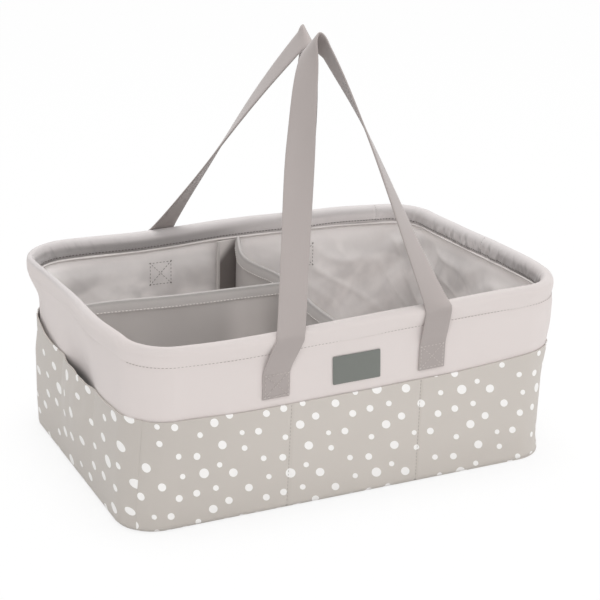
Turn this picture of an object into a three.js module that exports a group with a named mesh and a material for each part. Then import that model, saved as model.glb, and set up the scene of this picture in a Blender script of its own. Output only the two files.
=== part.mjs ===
// Soft diaper caddy: padded walls with a rolled rim, an outside pocket sleeve, two webbing
// handles and a lift-out divider insert. Millimetres, +Z up, +X along the long side, the front at -Y.
// The origin is on the floor, under the middle of the caddy.
import * as THREE from 'three';

const { clamp, degToRad, lerp, smoothstep } = THREE.MathUtils;

// Caddy body, measured on the outer wall fabric
const rimLength = 407;
const rimWidth = 291;
const bodyHeight = 164;
const endLean = 2.5; // how far an end wall leans out from the floor to the rim
const sideLean = 4; // and a long wall
const baseCorner = 34;
const rimCorner = 40;

// Layers of the wall and the floor
const seat = 0.3; // clearance between two layers that lie on each other
const wallFabric = 1;
const wallFoam = 5;
const liningFabric = 0.8;
const baseBoard = 3;

// Rolled rim
const rimRoll = 7; // from the middle of the roll up to its top
const rimBulge = 2.6; // how far the roll stands proud of the outer wall
const rimHem = 18.5; // from the top of the rim down to the hem's lower edge
const wallTopInRim = 14; // from the top of the rim down to the top of the wall layers

// Pocket sleeve
const pocketFabric = 1.2;
const pocketMouth = 96;
const sidePocketTack = 36; // where a side pocket's mouth is tacked to the wall, along Y
const sidePocketFront = -78; // where the slack mouth begins, along Y
const sidePocketBack = 128; // and where it ends
const frontSlack = 9; // how far the mouth gapes in front of the tack
const backSlack = 3.5; // and behind it
const slackStart = 10; // height where a side pocket begins to lean out

// Webbing handles and their sewn tabs
const webbingWidth = 25;
const webbing = 1.6;
const tabsAt = [-75, 70]; // X of the middles of a handle's left and right tabs
const tabBottom = 102.5;
const handleHinge = 128; // height where a handle leaves its tabs
const apexBend = 14; // length of each leg that the bend at the top takes up
const strapEnd = 0.6; // how far a strap's thinned end reaches past its hinge
const strapEndThinning = 0.5; // the end's thickness, as a share of the webbing's
const twistedWidth = [0, 0.8, 0.6]; // lie of the webbing after 90 degrees of twist, in X, outwards and up
const bowPeak = 1.8; // above 1, a leg bows most in its upper half
// Each handle's top in X, Y and Z, how its webbing lies there, and its left and right legs: X where
// it leaves the rim, degrees of twist, how late the twist comes, and how far the leg bows along X
const frontHandle = {
  apex: [7.5, -35, 378.5],
  widthAtApex: [0.36, 0.6, 0.71],
  legs: [
    { atRim: -64, twist: 54, delay: 1.15, bow: -4.5 },
    { atRim: 72.5, twist: 84, delay: 0.84, bow: 8.3 },
  ],
};
const rearHandle = {
  apex: [25.5, 12, 372.5],
  widthAtApex: [0, 0.8, 0.6],
  legs: [
    { atRim: -67.5, twist: 81, delay: 0.78, bow: -5 },
    { atRim: 73, twist: 80, delay: 1.3, bow: 0.5 },
  ],
};

// Label on the front
const labelWidth = 44;
const labelHeight = 25;
const labelMiddle = 118.5;
const labelFabric = 0.8;
const labelCorner = 1.5;

// Divider insert
const dividerTop = 142;
const dividerCore = 2.5;
const dividerCover = 0.6;
const bindingTape = 0.6;
const bindingDepth = 11;
const endTape = 1; // thickness of the tape that closes a divider's end
const endTapeWidth = 25;
const fastenerTape = 1.5; // thickness of each half of the hook-and-loop fastener
const fastenerWidth = 18;
const fastenerBottom = 40;
const fastenerTop = 134;
const crossBends = [[3, -60], [6.5, 16], [8, 45], [1.5, 95]]; // the cross divider's path, X and Y
const crossEnds = [4, 5]; // its X at the front and the back wall
const longBends = [[-100, 23], [-41, 19]]; // the long divider's path
const longEndAtWall = 33; // its Y at the left wall
const jointBend = 1; // which bend of the cross divider the long divider is sewn to
const squareEnd = 12; // length over which a divider meets its wall squarely

// Smoothness
const cornerSteps = 8;
const slackSteps = 16;
const pocketLevels = 3;
const hemSteps = 2;
const rollSteps = 10;
const pipingSides = 6;
const legSteps = 14;
const bendSteps = 6;
const labelCornerSteps = 4;
const dividerSteps = 20;

// Values that follow from those above
const rimMiddle = bodyHeight - rimRoll;
const hemBottom = bodyHeight - rimHem;
const wallTop = bodyHeight - wallTopInRim;
const foamOuter = -wallFabric - seat;
const foamInner = foamOuter - wallFoam;
const liningOuter = foamInner - seat;
const liningInner = liningOuter - liningFabric;
const rimInside = liningInner - seat - fastenerTape; // the roll is no prouder inside than the tapes
const boardBottom = wallFabric + seat;
const floorLiningBottom = boardBottom + baseBoard + seat;
const floorTop = floorLiningBottom + liningFabric;
const standOff = seat + webbing / 2; // from a surface to the middle of webbing that lies on it

const colour = {
  wall: 0xded6d2,
  dots: 0xc5beb7,
  webbing: 0xb2a9a5,
  lining: 0xc3beb9,
  binding: 0xb9b4af,
  label: 0x7a7d78,
  foam: 0xf0efe9,
  board: 0x8f8d88,
  fastener: 0xd8d4cf,
};
const matt = 0.9;
const satin = 0.5;
const smooth = 0.6;

const caddy = new THREE.Group();

function addPiece(name, geometry, tint, roughness = matt) {
  const material = new THREE.MeshStandardMaterial({ color: tint, roughness, metalness: 0 });
  const mesh = new THREE.Mesh(geometry, material);
  mesh.name = name;
  caddy.add(mesh);
  return mesh;
}

// Signed volume of an indexed mesh: negative when its faces point inwards
function signedVolume(points, faces) {
  const corner = new THREE.Vector3();
  return faces.reduce((sum, [a, b, c]) => {
    corner.crossVectors(points[b], points[c]);
    return sum + points[a].dot(corner) / 6;
  }, 0);
}

// Triangles that fill a flat outline, all turning the way the outline does
function fillOutline(outline) {
  const turn = Math.sign(THREE.ShapeUtils.area(outline));
  return THREE.ShapeUtils.triangulateShape(outline, []).map(([a, b, c]) => {
    const area = THREE.ShapeUtils.area([outline[a], outline[b], outline[c]]);
    return Math.sign(area) === turn ? [a, b, c] : [a, c, b];
  });
}

// Solid through matching sections of one profile, capped unless the run closes on itself
function loft(sections, profile, closed = false) {
  const size = profile.length;
  const runs = closed ? sections.length : sections.length - 1;
  const points = sections.flat();
  const faces = [];
  for (let run = 0; run < runs; run += 1) {
    const here = run * size;
    const next = ((run + 1) % sections.length) * size;
    for (let side = 0; side < size; side += 1) {
      const after = (side + 1) % size;
      faces.push([here + side, here + after, next + after], [here + side, next + after, next + side]);
    }
  }
  if (!closed) {
    const last = points.length - size;
    const fill = fillOutline(profile);
    fill.forEach(([a, b, c]) => faces.push([a, c, b], [last + a, last + b, last + c]));
  }
  const inward = signedVolume(points, faces) < 0;
  const geometry = new THREE.BufferGeometry().setFromPoints(points);
  geometry.setIndex(faces.flatMap(([a, b, c]) => (inward ? [a, c, b] : [a, b, c])));
  geometry.computeVertexNormals();
  return geometry;
}

function outlineOf(places) {
  return places.map(([x, y]) => new THREE.Vector2(x, y));
}

function rectangle(left, right, bottom, top) {
  return outlineOf([[left, bottom], [right, bottom], [right, top], [left, top]]);
}

function halfLengthAt(height) {
  return rimLength / 2 - endLean * (1 - height / bodyHeight);
}

function halfWidthAt(height) {
  return rimWidth / 2 - sideLean * (1 - height / bodyHeight);
}

// Point on the wall, a distance outside the outer fabric, at a height. Corners count from the
// back right one, anticlockwise; turn goes round a corner, and along follows the wall after it.
function wallPoint({ corner, turn, along = 0 }, offset, height) {
  if (along > 0) {
    const start = wallPoint({ corner, turn: 1 }, offset, height);
    return start.lerp(wallPoint({ corner: (corner + 1) % 4, turn: 0 }, offset, height), along);
  }
  const radius = lerp(baseCorner, rimCorner, height / bodyHeight) + offset;
  const angle = (corner + turn) * Math.PI / 2;
  const sideX = corner === 0 || corner === 3 ? 1 : -1;
  const sideY = corner < 2 ? 1 : -1;
  return new THREE.Vector3(
    sideX * (halfLengthAt(height) + offset - radius) + radius * Math.cos(angle),
    sideY * (halfWidthAt(height) + offset - radius) + radius * Math.sin(angle),
    height,
  );
}

function steps(count, from = 0, to = 1) {
  return Array.from({ length: count + 1 }, (_, step) => lerp(from, to, step / count));
}

// Stations of one wall, from the middle of a corner to the middle of the next
function wallStations(corner, straightSteps = 1) {
  const gap = seat / (baseCorner + foamInner) / Math.PI; // half a clearance, as a share of the turn
  const next = (corner + 1) % 4;
  const straight = steps(straightSteps).slice(1, -1);
  return [
    ...steps(cornerSteps / 2, 0.5 + gap, 1).map((turn) => ({ corner, turn })),
    ...straight.map((along) => ({ corner, turn: 1, along })),
    ...steps(cornerSteps / 2, 0, 0.5 - gap).map((turn) => ({ corner: next, turn })),
  ];
}

const corners = [0, 1, 2, 3];
const ringStations = corners.flatMap((corner) => steps(cornerSteps).map((turn) => ({ corner, turn })));

function wallSweep(stations, profile, closed) {
  return loft(stations.map((at) => profile.map((p) => wallPoint(at, p.x, p.y))), profile, closed);
}

// Flat plate in the outline of the wall
function floorPlate(offset, bottom, top) {
  const outlines = [bottom, top].map((height) => ringStations.map((at) => wallPoint(at, offset, height)));
  const profile = outlines[0].map((p) => new THREE.Vector2(p.x, p.y));
  return loft(outlines, profile);
}

// Which corner each wall starts from
const walls = { back: 0, left: 1, front: 2, right: 3 };

// Flat patch that lies along a wall, with its middle beside a place; the profile is offset and height
function wallPatch(wall, place, width, profile) {
  const corner = walls[wall];
  const height = profile[0].y;
  const start = wallPoint({ corner, turn: 1 }, 0, height);
  const run = wallPoint({ corner: (corner + 1) % corners.length, turn: 0 }, 0, height).sub(start);
  const share = new THREE.Vector3(...place, height).sub(start).dot(run) / run.lengthSq();
  const half = width / 2 / run.length();
  return wallSweep([share - half, share + half].map((along) => ({ corner, turn: 1, along })), profile);
}

function addFloor() {
  addPiece('base_fabric', floorPlate(seat + pocketFabric, 0, wallFabric), colour.dots);
  const board = floorPlate(liningOuter, boardBottom, boardBottom + baseBoard);
  addPiece('base_board', board, colour.board, smooth);
  addPiece('base_lining', floorPlate(liningOuter, floorLiningBottom, floorTop), colour.lining, satin);
}

function addWalls() {
  const fabric = rectangle(-wallFabric, 0, boardBottom, wallTop);
  addPiece('outer_wall', wallSweep(ringStations, fabric, true), colour.wall);
  const foam = rectangle(foamInner, foamOuter, boardBottom, wallTop);
  Object.entries(walls).forEach(([side, corner]) => {
    addPiece(`${side}_wall_foam`, wallSweep(wallStations(corner), foam), colour.foam);
  });
  const lining = rectangle(liningInner, liningOuter, floorTop + seat, wallTop);
  addPiece('wall_lining', wallSweep(ringStations, lining, true), colour.lining, satin);
}

// Section of the rolled rim, a distance inside its outer face, from the outside hem over the top
function rimCurve(inset, bottom) {
  const middle = (rimBulge + rimInside) / 2;
  const reach = (rimBulge - rimInside) / 2 - inset;
  const hemOuter = seat + wallFabric - inset;
  const hemInner = liningInner - seat - wallFabric + inset;
  const start = (bottom - hemBottom) / (rimMiddle - hemBottom);
  const swell = steps(hemSteps, start, 1).slice(0, -1);
  const side = (hem, face) => swell.map((share) => new THREE.Vector2(
    lerp(hem, face, Math.sin(share * Math.PI / 2)),
    lerp(hemBottom, rimMiddle, share),
  ));
  const roll = steps(rollSteps, 0, Math.PI).map((angle) => new THREE.Vector2(
    middle + reach * Math.cos(angle),
    rimMiddle + (rimRoll - inset) * Math.sin(angle),
  ));
  return [...side(hemOuter, middle + reach), ...roll, ...side(hemInner, middle - reach).reverse()];
}

function addRim() {
  const cover = [...rimCurve(0, hemBottom), ...rimCurve(wallFabric, hemBottom).reverse()];
  addPiece('rim_cover', wallSweep(ringStations, cover, true), colour.wall);
  const foam = rimCurve(wallFabric + seat, wallTop + seat);
  addPiece('rim_foam', wallSweep(ringStations, foam, true), colour.foam);
  const cord = fastenerTape / 2;
  const [across, height] = [liningInner - seat - cord, hemBottom - seat - cord];
  const round = steps(pipingSides, 0, 2 * Math.PI).slice(0, -1);
  const piping = round.map((angle) => [across + cord * Math.cos(angle), height + cord * Math.sin(angle)]);
  addPiece('rim_piping', wallSweep(ringStations, outlineOf(piping), true), colour.binding);
}

// How far a side pocket's mouth gapes at a place along the wall: two lobes with a tack between
function mouthGape(y) {
  const lobe = (from, to, depth) => depth * Math.sin(Math.PI * clamp((y - from) / (to - from), 0, 1));
  const front = lobe(sidePocketFront, sidePocketTack, frontSlack);
  return front + lobe(sidePocketTack, sidePocketBack, backSlack);
}

// Side pocket panel whose mouth leans out from the wall
function slackPocket(corner) {
  const levels = [boardBottom, slackStart, ...steps(pocketLevels, slackStart, pocketMouth).slice(1)];
  const face = (out) => levels.map((height) => [out, height]);
  const profile = outlineOf([...face(0), ...face(pocketFabric).reverse()]);
  const sections = wallStations(corner, slackSteps).map((at) => profile.map(({ x, y }) => {
    const gape = mouthGape(wallPoint(at, 0, pocketMouth).y);
    const lean = Math.max(0, (y - slackStart) / (pocketMouth - slackStart));
    return wallPoint(at, seat + x + gape * lean, y);
  }));
  return loft(sections, profile);
}

function addPockets() {
  const flat = rectangle(seat, seat + pocketFabric, boardBottom, pocketMouth);
  ['front', 'back'].forEach((side) => {
    addPiece(`${side}_pocket`, wallSweep(wallStations(walls[side]), flat), colour.dots);
  });
  ['left', 'right'].forEach((side) => addPiece(`${side}_pocket`, slackPocket(walls[side]), colour.dots));
}

function addLabel() {
  const [right, top] = [labelWidth / 2, labelHeight / 2];
  const shape = new THREE.Shape();
  [[right, top], [-right, top], [-right, -top], [right, -top]].forEach(([x, y], corner) => {
    const start = corner * Math.PI / 2;
    const [inX, inY] = [x - Math.sign(x) * labelCorner, y - Math.sign(y) * labelCorner];
    shape.absarc(inX, inY, labelCorner, start, start + Math.PI / 2);
  });
  const cut = { depth: labelFabric, bevelEnabled: false, curveSegments: labelCornerSteps };
  const label = addPiece('label', new THREE.ExtrudeGeometry(shape, cut), colour.label);
  label.rotation.x = Math.PI / 2 + Math.atan(sideLean / bodyHeight);
  label.position.set(0, -halfWidthAt(labelMiddle) - seat, labelMiddle);
}

// Middle line of one handle leg, with Y outwards, from its tab to where it leaves the rim
function legOverRim(xAtTab, xAtRim, apex) {
  const rimFace = halfWidthAt(rimMiddle);
  const middle = rimFace + (rimBulge + rimInside) / 2;
  const reach = (rimBulge - rimInside) / 2 + standOff + seat / 2;
  const rise = rimRoll + standOff + seat / 2;
  const slope = (rimFace - apex.y) / (apex.z - rimMiddle);
  const leave = Math.atan(slope * rise / reach);
  const rim = (angle) => [middle + reach * Math.cos(angle), rimMiddle + rise * Math.sin(angle)];
  const tab = [halfWidthAt(handleHinge) + standOff, handleHinge];
  const hem = [rimFace + rimBulge + seat, (handleHinge + rimMiddle) / 2];
  const places = [tab, hem, rim(0), rim(leave / 2), rim(leave)];
  return places.map(([y, z]) => {
    const drawnIn = smoothstep(z, handleHinge, rimMiddle + rimRoll);
    return new THREE.Vector3(lerp(xAtTab, xAtRim, drawnIn), y, z);
  });
}

// Handle loop in webbing: up over the rim, a bowed leg that twists, a tight bend at the top.
// It is drawn with Y outwards, and webbingSections turns it to its own side of the caddy.
function handleLoop(handle, outward) {
  const [x, y, z] = handle.apex;
  const apex = new THREE.Vector3(x, y * outward, z);
  const legs = [-1, 1].map((side, leg) => {
    const { atRim, twist, delay, bow } = handle.legs[leg];
    const low = new THREE.CatmullRomCurve3(legOverRim(tabsAt[leg], atRim, apex)).getPoints(legSteps);
    const top = low.at(-1);
    const bendStart = apex.clone().lerp(top, apexBend / apex.distanceTo(top));
    const shares = steps(legSteps).slice(1);
    const free = shares.map((share) => {
      const point = top.clone().lerp(bendStart, share);
      return point.setX(point.x + bow * Math.sin(share ** bowPeak * Math.PI));
    });
    const across = new THREE.Vector3(-side, 0, 0);
    const widths = [...low.map(() => 0), ...shares].map((share) => {
      const angle = degToRad(twist) * share ** delay;
      const turned = new THREE.Vector3(...twistedWidth).multiplyScalar(Math.sin(angle));
      return turned.addScaledVector(across, Math.cos(angle));
    });
    return { points: [...low, ...free], widths };
  });
  const [left, right] = legs;
  const apexWidth = new THREE.Vector3(...handle.widthAtApex);
  const bend = (from, middle, to) => new THREE.QuadraticBezierCurve3(from.at(-1), middle, to.at(-1))
    .getPoints(bendSteps).slice(1, -1);
  const points = [...left.points, ...bend(left.points, apex, right.points), ...right.points.toReversed()];
  const bent = bend(left.widths, apexWidth, right.widths).map((width) => width.normalize());
  const widths = [...left.widths, ...bent, ...right.widths.toReversed()];
  return loft(...webbingSections(points, widths, outward));
}

// Cross-sections of the webbing, with both ends thinned below the hinge
function webbingSections(points, widths, outward) {
  const ends = [points[0], points.at(-1)].map((p) => p.clone().setZ(p.z - strapEnd));
  const line = [ends[0], ...points, ends[1]];
  const across = [widths[0], ...widths, widths.at(-1)];
  const profile = rectangle(-webbingWidth / 2, webbingWidth / 2, -webbing / 2, webbing / 2);
  const sections = line.map((point, at) => {
    const before = line[Math.max(at - 1, 0)];
    const along = line[Math.min(at + 1, line.length - 1)].clone().sub(before).normalize();
    const face = along.clone().cross(across[at]);
    const width = across[at].clone().divideScalar(face.length());
    const depth = at === 0 || at === line.length - 1 ? strapEndThinning : 1;
    face.normalize().multiplyScalar(depth);
    return profile.map((p) => {
      const corner = point.clone().addScaledVector(width, p.x).addScaledVector(face, p.y);
      return corner.setY(corner.y * outward);
    });
  });
  return [sections, profile];
}

function addHandles() {
  const tabTop = handleHinge - strapEnd - seat;
  const tab = rectangle(seat, seat + webbing, tabBottom, tabTop);
  const handles = [['front', 'front', -1, frontHandle], ['rear', 'back', 1, rearHandle]];
  handles.forEach(([name, wall, outward, handle]) => {
    addPiece(`${name}_handle_strap`, handleLoop(handle, outward), colour.webbing);
    ['left', 'right'].forEach((side, leg) => {
      const place = [tabsAt[leg], outward * halfWidthAt(tabTop)];
      addPiece(`${name}_${side}_tab`, wallPatch(wall, place, webbingWidth, tab), colour.webbing);
    });
  });
}

const coverHalf = dividerCore / 2 + seat + dividerCover;
const bindingHalf = coverHalf + seat + bindingTape;
const coverTop = dividerTop - bindingTape - seat;
const tapeFace = rimInside - seat; // a fastener on the insert clears the rim as it lifts out
const tapeBack = tapeFace - fastenerTape - seat;
const dividerEnd = tapeBack - endTape - seat;

// Upright panel along a path drawn on the floor, which widens upwards as the walls do;
// the profile is thickness and height
function panelAlong(path, profile) {
  const widen = (halfAt, height) => (halfAt(height) + dividerEnd) / (halfAt(0) + dividerEnd);
  const sections = steps(dividerSteps).map((share) => {
    const point = path.getPoint(share);
    const along = path.getTangent(share);
    return profile.map((p) => new THREE.Vector3(
      point.x * widen(halfLengthAt, p.y) + along.y * p.x,
      point.y * widen(halfWidthAt, p.y) - along.x * p.x,
      p.y,
    ));
  });
  return loft(sections, profile);
}

// Folded fabric: a channel of one thickness, open at the end where its arms stop
function channel(half, thickness, fold, open) {
  const inside = fold + Math.sign(open - fold) * thickness;
  const inner = half - thickness;
  const right = [[half, fold], [half, open], [inner, open], [inner, inside]];
  const left = right.map(([x, y]) => [-x, y]).reverse();
  return outlineOf([...right, ...left]);
}

function addDivider(name, path) {
  const foot = floorTop + seat;
  const coreBottom = foot + dividerCover + seat;
  const core = rectangle(-dividerCore / 2, dividerCore / 2, coreBottom, coverTop);
  addPiece(`${name}_core`, panelAlong(path, core), colour.foam);
  const cover = channel(coverHalf, dividerCover, foot, coverTop);
  addPiece(`${name}_cover`, panelAlong(path, cover), colour.lining, satin);
  const binding = channel(bindingHalf, bindingTape, dividerTop, dividerTop - bindingDepth);
  addPiece(`${name}_binding`, panelAlong(path, binding), colour.binding, smooth);
}

// End of a divider at a wall: its tape, and the two halves of the fastener that holds it there
function addEnd(wall, place) {
  const layer = (part, width, outside, thickness, low, high, tint) => {
    const profile = rectangle(outside - thickness, outside, low, high);
    addPiece(`${wall}_${part}`, wallPatch(wall, place, width, profile), tint);
  };
  layer('end_tape', endTapeWidth, tapeBack, endTape, floorTop + seat, dividerTop, colour.binding);
  layer('hook_tape', fastenerWidth, tapeFace, fastenerTape, fastenerBottom, fastenerTop, colour.fastener);
  const loopFace = liningInner - seat;
  layer('loop_tape', fastenerWidth, loopFace, fastenerTape, fastenerBottom, fastenerTop, colour.fastener);
}

function addInsert() {
  const upright = ([x, y]) => new THREE.Vector3(x, y);
  const throughPoints = (places) => new THREE.CatmullRomCurve3(places.map(upright));
  const [frontX, backX] = crossEnds;
  const endY = halfWidthAt(0) + dividerEnd;
  const endX = -halfLengthAt(0) - dividerEnd;
  const cross = [
    [frontX, -endY], [frontX, squareEnd - endY], ...crossBends, [backX, endY - squareEnd], [backX, endY],
  ];
  addDivider('cross_divider', throughPoints(cross));
  const [jointX, jointY] = crossBends[jointBend];
  const jointEnd = [jointX - bindingHalf - 2 * seat, jointY];
  const long = [[endX, longEndAtWall], [endX + squareEnd, longEndAtWall], ...longBends, jointEnd];
  addDivider('long_divider', throughPoints(long));
  const shift = endTapeWidth / 2 - bindingHalf; // the tape reaches past the divider on its left side only
  addEnd('front', [frontX - shift, -endY]);
  addEnd('back', [backX - shift, endY]);
  addEnd('left', [endX, longEndAtWall + shift]);
}

addFloor();
addWalls();
addRim();
addPockets();
addLabel();
addHandles();
addInsert();

export default caddy;
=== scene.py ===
import math
import bmesh
import bpy
import numpy as np
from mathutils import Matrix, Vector


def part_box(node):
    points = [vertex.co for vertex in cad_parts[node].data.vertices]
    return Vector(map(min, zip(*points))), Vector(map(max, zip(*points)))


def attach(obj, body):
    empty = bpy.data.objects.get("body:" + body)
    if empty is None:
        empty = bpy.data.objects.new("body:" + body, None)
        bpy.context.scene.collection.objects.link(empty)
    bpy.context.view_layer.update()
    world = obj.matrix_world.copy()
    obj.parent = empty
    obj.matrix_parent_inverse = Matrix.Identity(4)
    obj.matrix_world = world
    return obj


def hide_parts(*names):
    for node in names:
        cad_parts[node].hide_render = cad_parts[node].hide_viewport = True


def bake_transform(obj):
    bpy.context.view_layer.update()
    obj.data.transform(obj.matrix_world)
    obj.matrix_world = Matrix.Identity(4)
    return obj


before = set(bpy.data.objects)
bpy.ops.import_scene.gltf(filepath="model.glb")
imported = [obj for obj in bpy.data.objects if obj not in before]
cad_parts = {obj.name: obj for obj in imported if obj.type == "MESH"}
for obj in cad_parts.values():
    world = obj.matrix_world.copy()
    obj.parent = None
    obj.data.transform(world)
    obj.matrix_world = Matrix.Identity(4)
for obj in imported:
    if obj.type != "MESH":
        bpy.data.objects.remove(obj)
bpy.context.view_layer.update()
mm = 0.001

# The caddy's outline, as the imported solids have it
body = {
    "rimLength": 407 * mm, "rimWidth": 291 * mm, "height": 164 * mm,
    "endLean": 2.5 * mm, "sideLean": 4 * mm, "baseCorner": 34 * mm, "rimCorner": 40 * mm,
    "wallFabric": 1 * mm, "foam": 5 * mm, "lining": 0.8 * mm, "seat": 0.3 * mm,
    "floorTop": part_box("base_lining")[1].z,
}
liningFace = -(body["wallFabric"] + body["foam"] + body["lining"] + 2 * body["seat"])

# How the soft body has settled: a slight twist, a lean, corners pushed out or drawn in, a pinched end
slump = {
    "twist": 0.17,                            # lift per metre along X and per metre along -Y
    "lean": -5 * mm, "insertLean": 0.4,       # of the floor along X, and the insert's share of it
    "fade": 90 * mm,                          # height above the rim in which it dies away
    "cornerOut": (-7 * mm, 2.5 * mm, 0.0),    # the back left corner of the rim
    "cornerIn": (9 * mm, 9 * mm, 0.0), "cornerInReach": 62 * mm, "cornerInset": 12 * mm,   # front left
    "pinch": 8 * mm,                          # of the left end, then its place and reach along and up it
    "pinchAt": (8 * mm, 100 * mm), "pinchReach": (44 * mm, 26 * mm),
    "frontSag": 2.1 * mm, "leftSag": 3.6 * mm, "backRise": 3.5 * mm, "rightRise": 1.4 * mm,
    "swell": 0.35 * mm, "swellSize": 90 * mm,
    # corners swollen (+) or drawn in (-): by how much, rising and fading between which heights, how far along
    "swells": [("frontRight", -4.2 * mm, (-6 * mm, 14 * mm), (66 * mm, 108 * mm), 70 * mm),
               ("frontRight", 2 * mm, (100 * mm, 122 * mm), (140 * mm, 150 * mm), 60 * mm),
               ("backLeft", -3 * mm, (70 * mm, 95 * mm), (125 * mm, 150 * mm), 60 * mm)],
}


def smooth(value, low, high):
    share = np.clip((value - low) / (high - low), 0, 1)
    return share * share * (3 - 2 * share)


def bump(value, middle, reach):
    return np.exp(-((value - middle) / reach) ** 2)


def smoothMm(value, low, high):
    # the step between two lengths in millimetres
    return smooth(value, low * mm, high * mm)


def bumpMm(value, middle, reach):
    return bump(value, middle * mm, reach * mm)


def ripples(u, v, size, seed, waves=7):
    # soft irregular waves of about one size, the same on every run, that close up round the outline
    draw = np.random.default_rng(seed)
    total = 0
    for _ in range(waves):
        angle, phase = draw.uniform(0, 2 * math.pi), draw.uniform(0, 2 * math.pi)
        pitch = draw.uniform(0.7, 1.5)
        along = round(math.cos(angle) * perimeter / (size * pitch)) / perimeter
        total = total + np.sin((u * along + v * math.sin(angle) / (size * pitch)) * 2 * math.pi + phase)
    return total / math.sqrt(waves)


def halfSizes(z):
    up = np.asarray(z) / body["height"]
    halfLength = body["rimLength"] / 2 - body["endLean"] * (1 - up)
    halfWidth = body["rimWidth"] / 2 - body["sideLean"] * (1 - up)
    radius = body["baseCorner"] + (body["rimCorner"] - body["baseCorner"]) * up
    return halfLength, halfWidth, radius


def outlineKnots():
    # where each straight and each corner begins, walking from the middle of the front to the right
    halfLength, halfWidth, radius = halfSizes(body["height"] / 2)
    front, side, arc = halfLength - radius, 2 * (halfWidth - radius), radius * math.pi / 2
    runs = [front, arc, side, arc, 2 * front, arc, side, arc, front]
    return np.concatenate([[0], np.cumsum(runs)])


knotWalk = outlineKnots()
knotX = np.array([0, 1, 1, 1, 1, -1, -1, -1, -1, 0])
knotY = np.array([-1, -1, -1, 1, 1, 1, 1, -1, -1, -1])
knotTurn = np.radians([-90, -90, 0, 0, 90, 90, 180, 180, 270, 270])
perimeter = knotWalk[-1]
cornerWalk = {name: (knotWalk[at] + knotWalk[at + 1]) / 2
              for name, at in (("frontRight", 1), ("backRight", 3), ("backLeft", 5), ("frontLeft", 7))}
sideWalk = {"front": 0.0, "right": (knotWalk[2] + knotWalk[3]) / 2,
            "back": perimeter / 2, "left": (knotWalk[6] + knotWalk[7]) / 2}
ringWalks = np.linspace(0, perimeter, 520, endpoint=False)


def walkGap(walk, middle):
    # signed distance along the outline, the short way round
    return (np.asarray(walk) - middle + perimeter / 2) % perimeter - perimeter / 2


def relief(walk, z):
    # how the whole padded wall swells or is drawn in, shared by all its layers
    z = np.asarray(z)
    (pinchWalk, pinchZ), (walkReach, zReach) = slump["pinchAt"], slump["pinchReach"]
    drawn = slump["pinch"] * bump(walkGap(walk, sideWalk["left"]), pinchWalk, walkReach)
    drawn = drawn * bump(z, pinchZ, zReach)
    for corner, depth, rising, fading, reach in slump["swells"]:
        near = bump(walkGap(walk, cornerWalk[corner]), 0, reach)
        drawn = drawn - depth * near * smooth(z, *rising) * (1 - smooth(z, *fading))
    loose = smoothMm(z, 0, 30) * (1 - smoothMm(z, 138, 150))
    return slump["swell"] * ripples(walk, z, slump["swellSize"], 3) * loose - drawn


def wallPoint(walk, offset, z, soft=True):
    walk, offset, z = np.broadcast_arrays(*(np.asarray(value, float) for value in (walk, offset, z)))
    along = walk % perimeter
    turn = np.interp(along, knotWalk, knotTurn)
    x, y = np.interp(along, knotWalk, knotX), np.interp(along, knotWalk, knotY)
    halfLength, halfWidth, radius = halfSizes(z)
    reach = radius + offset + (relief(walk, z) if soft else 0)
    return np.stack([x * (halfLength - radius) + reach * np.cos(turn),
                     y * (halfWidth - radius) + reach * np.sin(turn), z], axis=-1)


def rimLift(x, y):
    # the rim sags along the front and the left, is drawn up along the back and tilts along the right
    front = slump["frontSag"] * smoothMm(-y, 85, 138) * (1 + 0.45 * bumpMm(x, -115, 45))
    left = slump["leftSag"] * smoothMm(-x, 150, 195) * bumpMm(y, 75, 75)
    peak = smoothMm(x, -75, -5) * (1 - smoothMm(x, 105, 175))
    dip = 0.3 * (1 - smoothMm(x, -100, -60))
    back = slump["backRise"] * smoothMm(y, 80, 135) * (peak - dip)
    tilt = bumpMm(y, -60, 60) - bumpMm(y, 75, 60)
    right = slump["rightRise"] * smoothMm(x, 150, 195) * tilt
    return back + right - front - left


def settle(points, leaning=1.0):
    # the slump of the finished caddy, dying away above the rim
    points = np.array(points, float)
    x, y, z = (points[..., axis].copy() for axis in range(3))
    up = z / body["height"]
    kept = 1 - smooth(z, body["height"], body["height"] + slump["fade"])
    points[..., 2] += rimLift(x, y) * smoothMm(z, 118, 158) * kept
    points[..., 2] -= slump["twist"] * x * y * np.clip(up, 0, 1) * kept
    points[..., 0] += slump["lean"] * leaning * np.clip(1 - up, 0, 1)
    corner = smoothMm(-x, 110, 195) * smoothMm(y, 50, 135) * smoothMm(z, 118, 152)
    fromCorner = np.hypot(x + body["rimLength"] / 2 - slump["cornerInset"],
                          y + body["rimWidth"] / 2 - slump["cornerInset"])
    drawn = bump(fromCorner, 0, slump["cornerInReach"]) * smoothMm(z, 10, 110)
    return points + corner[..., None] * slump["cornerOut"] + drawn[..., None] * slump["cornerIn"]


# Mesh helpers

def addObject(name, data):
    piece = bpy.data.objects.new(name, data)
    bpy.context.scene.collection.objects.link(piece)
    return piece


def finishMesh(name, vertices, faces, uvs, sharp=50):
    mesh = bpy.data.meshes.new(name)
    mesh.from_pydata(np.asarray(vertices).tolist(), [], [list(map(int, f)) for f in faces])
    layer = mesh.uv_layers.new(name="cloth")
    layer.data.foreach_set("uv", np.asarray(uvs, np.float32).ravel())
    mesh.polygons.foreach_set("use_smooth", [True] * len(mesh.polygons))
    mesh.update()
    mesh.set_sharp_from_angle(angle=math.radians(sharp))
    return addObject(name, mesh)


def volumeOf(vertices, faces):
    a, b, c, d = (vertices[faces[:, i]] for i in range(4))
    return (np.einsum("ij,ij->i", a, np.cross(b, c)) + np.einsum("ij,ij->i", a, np.cross(c, d))).sum() / 6


def clothUv(along, across):
    # metres along and across a lofted cloth, with one column more than the loft has
    return np.stack(np.broadcast_arrays(along[None, :], across), -1)


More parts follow.
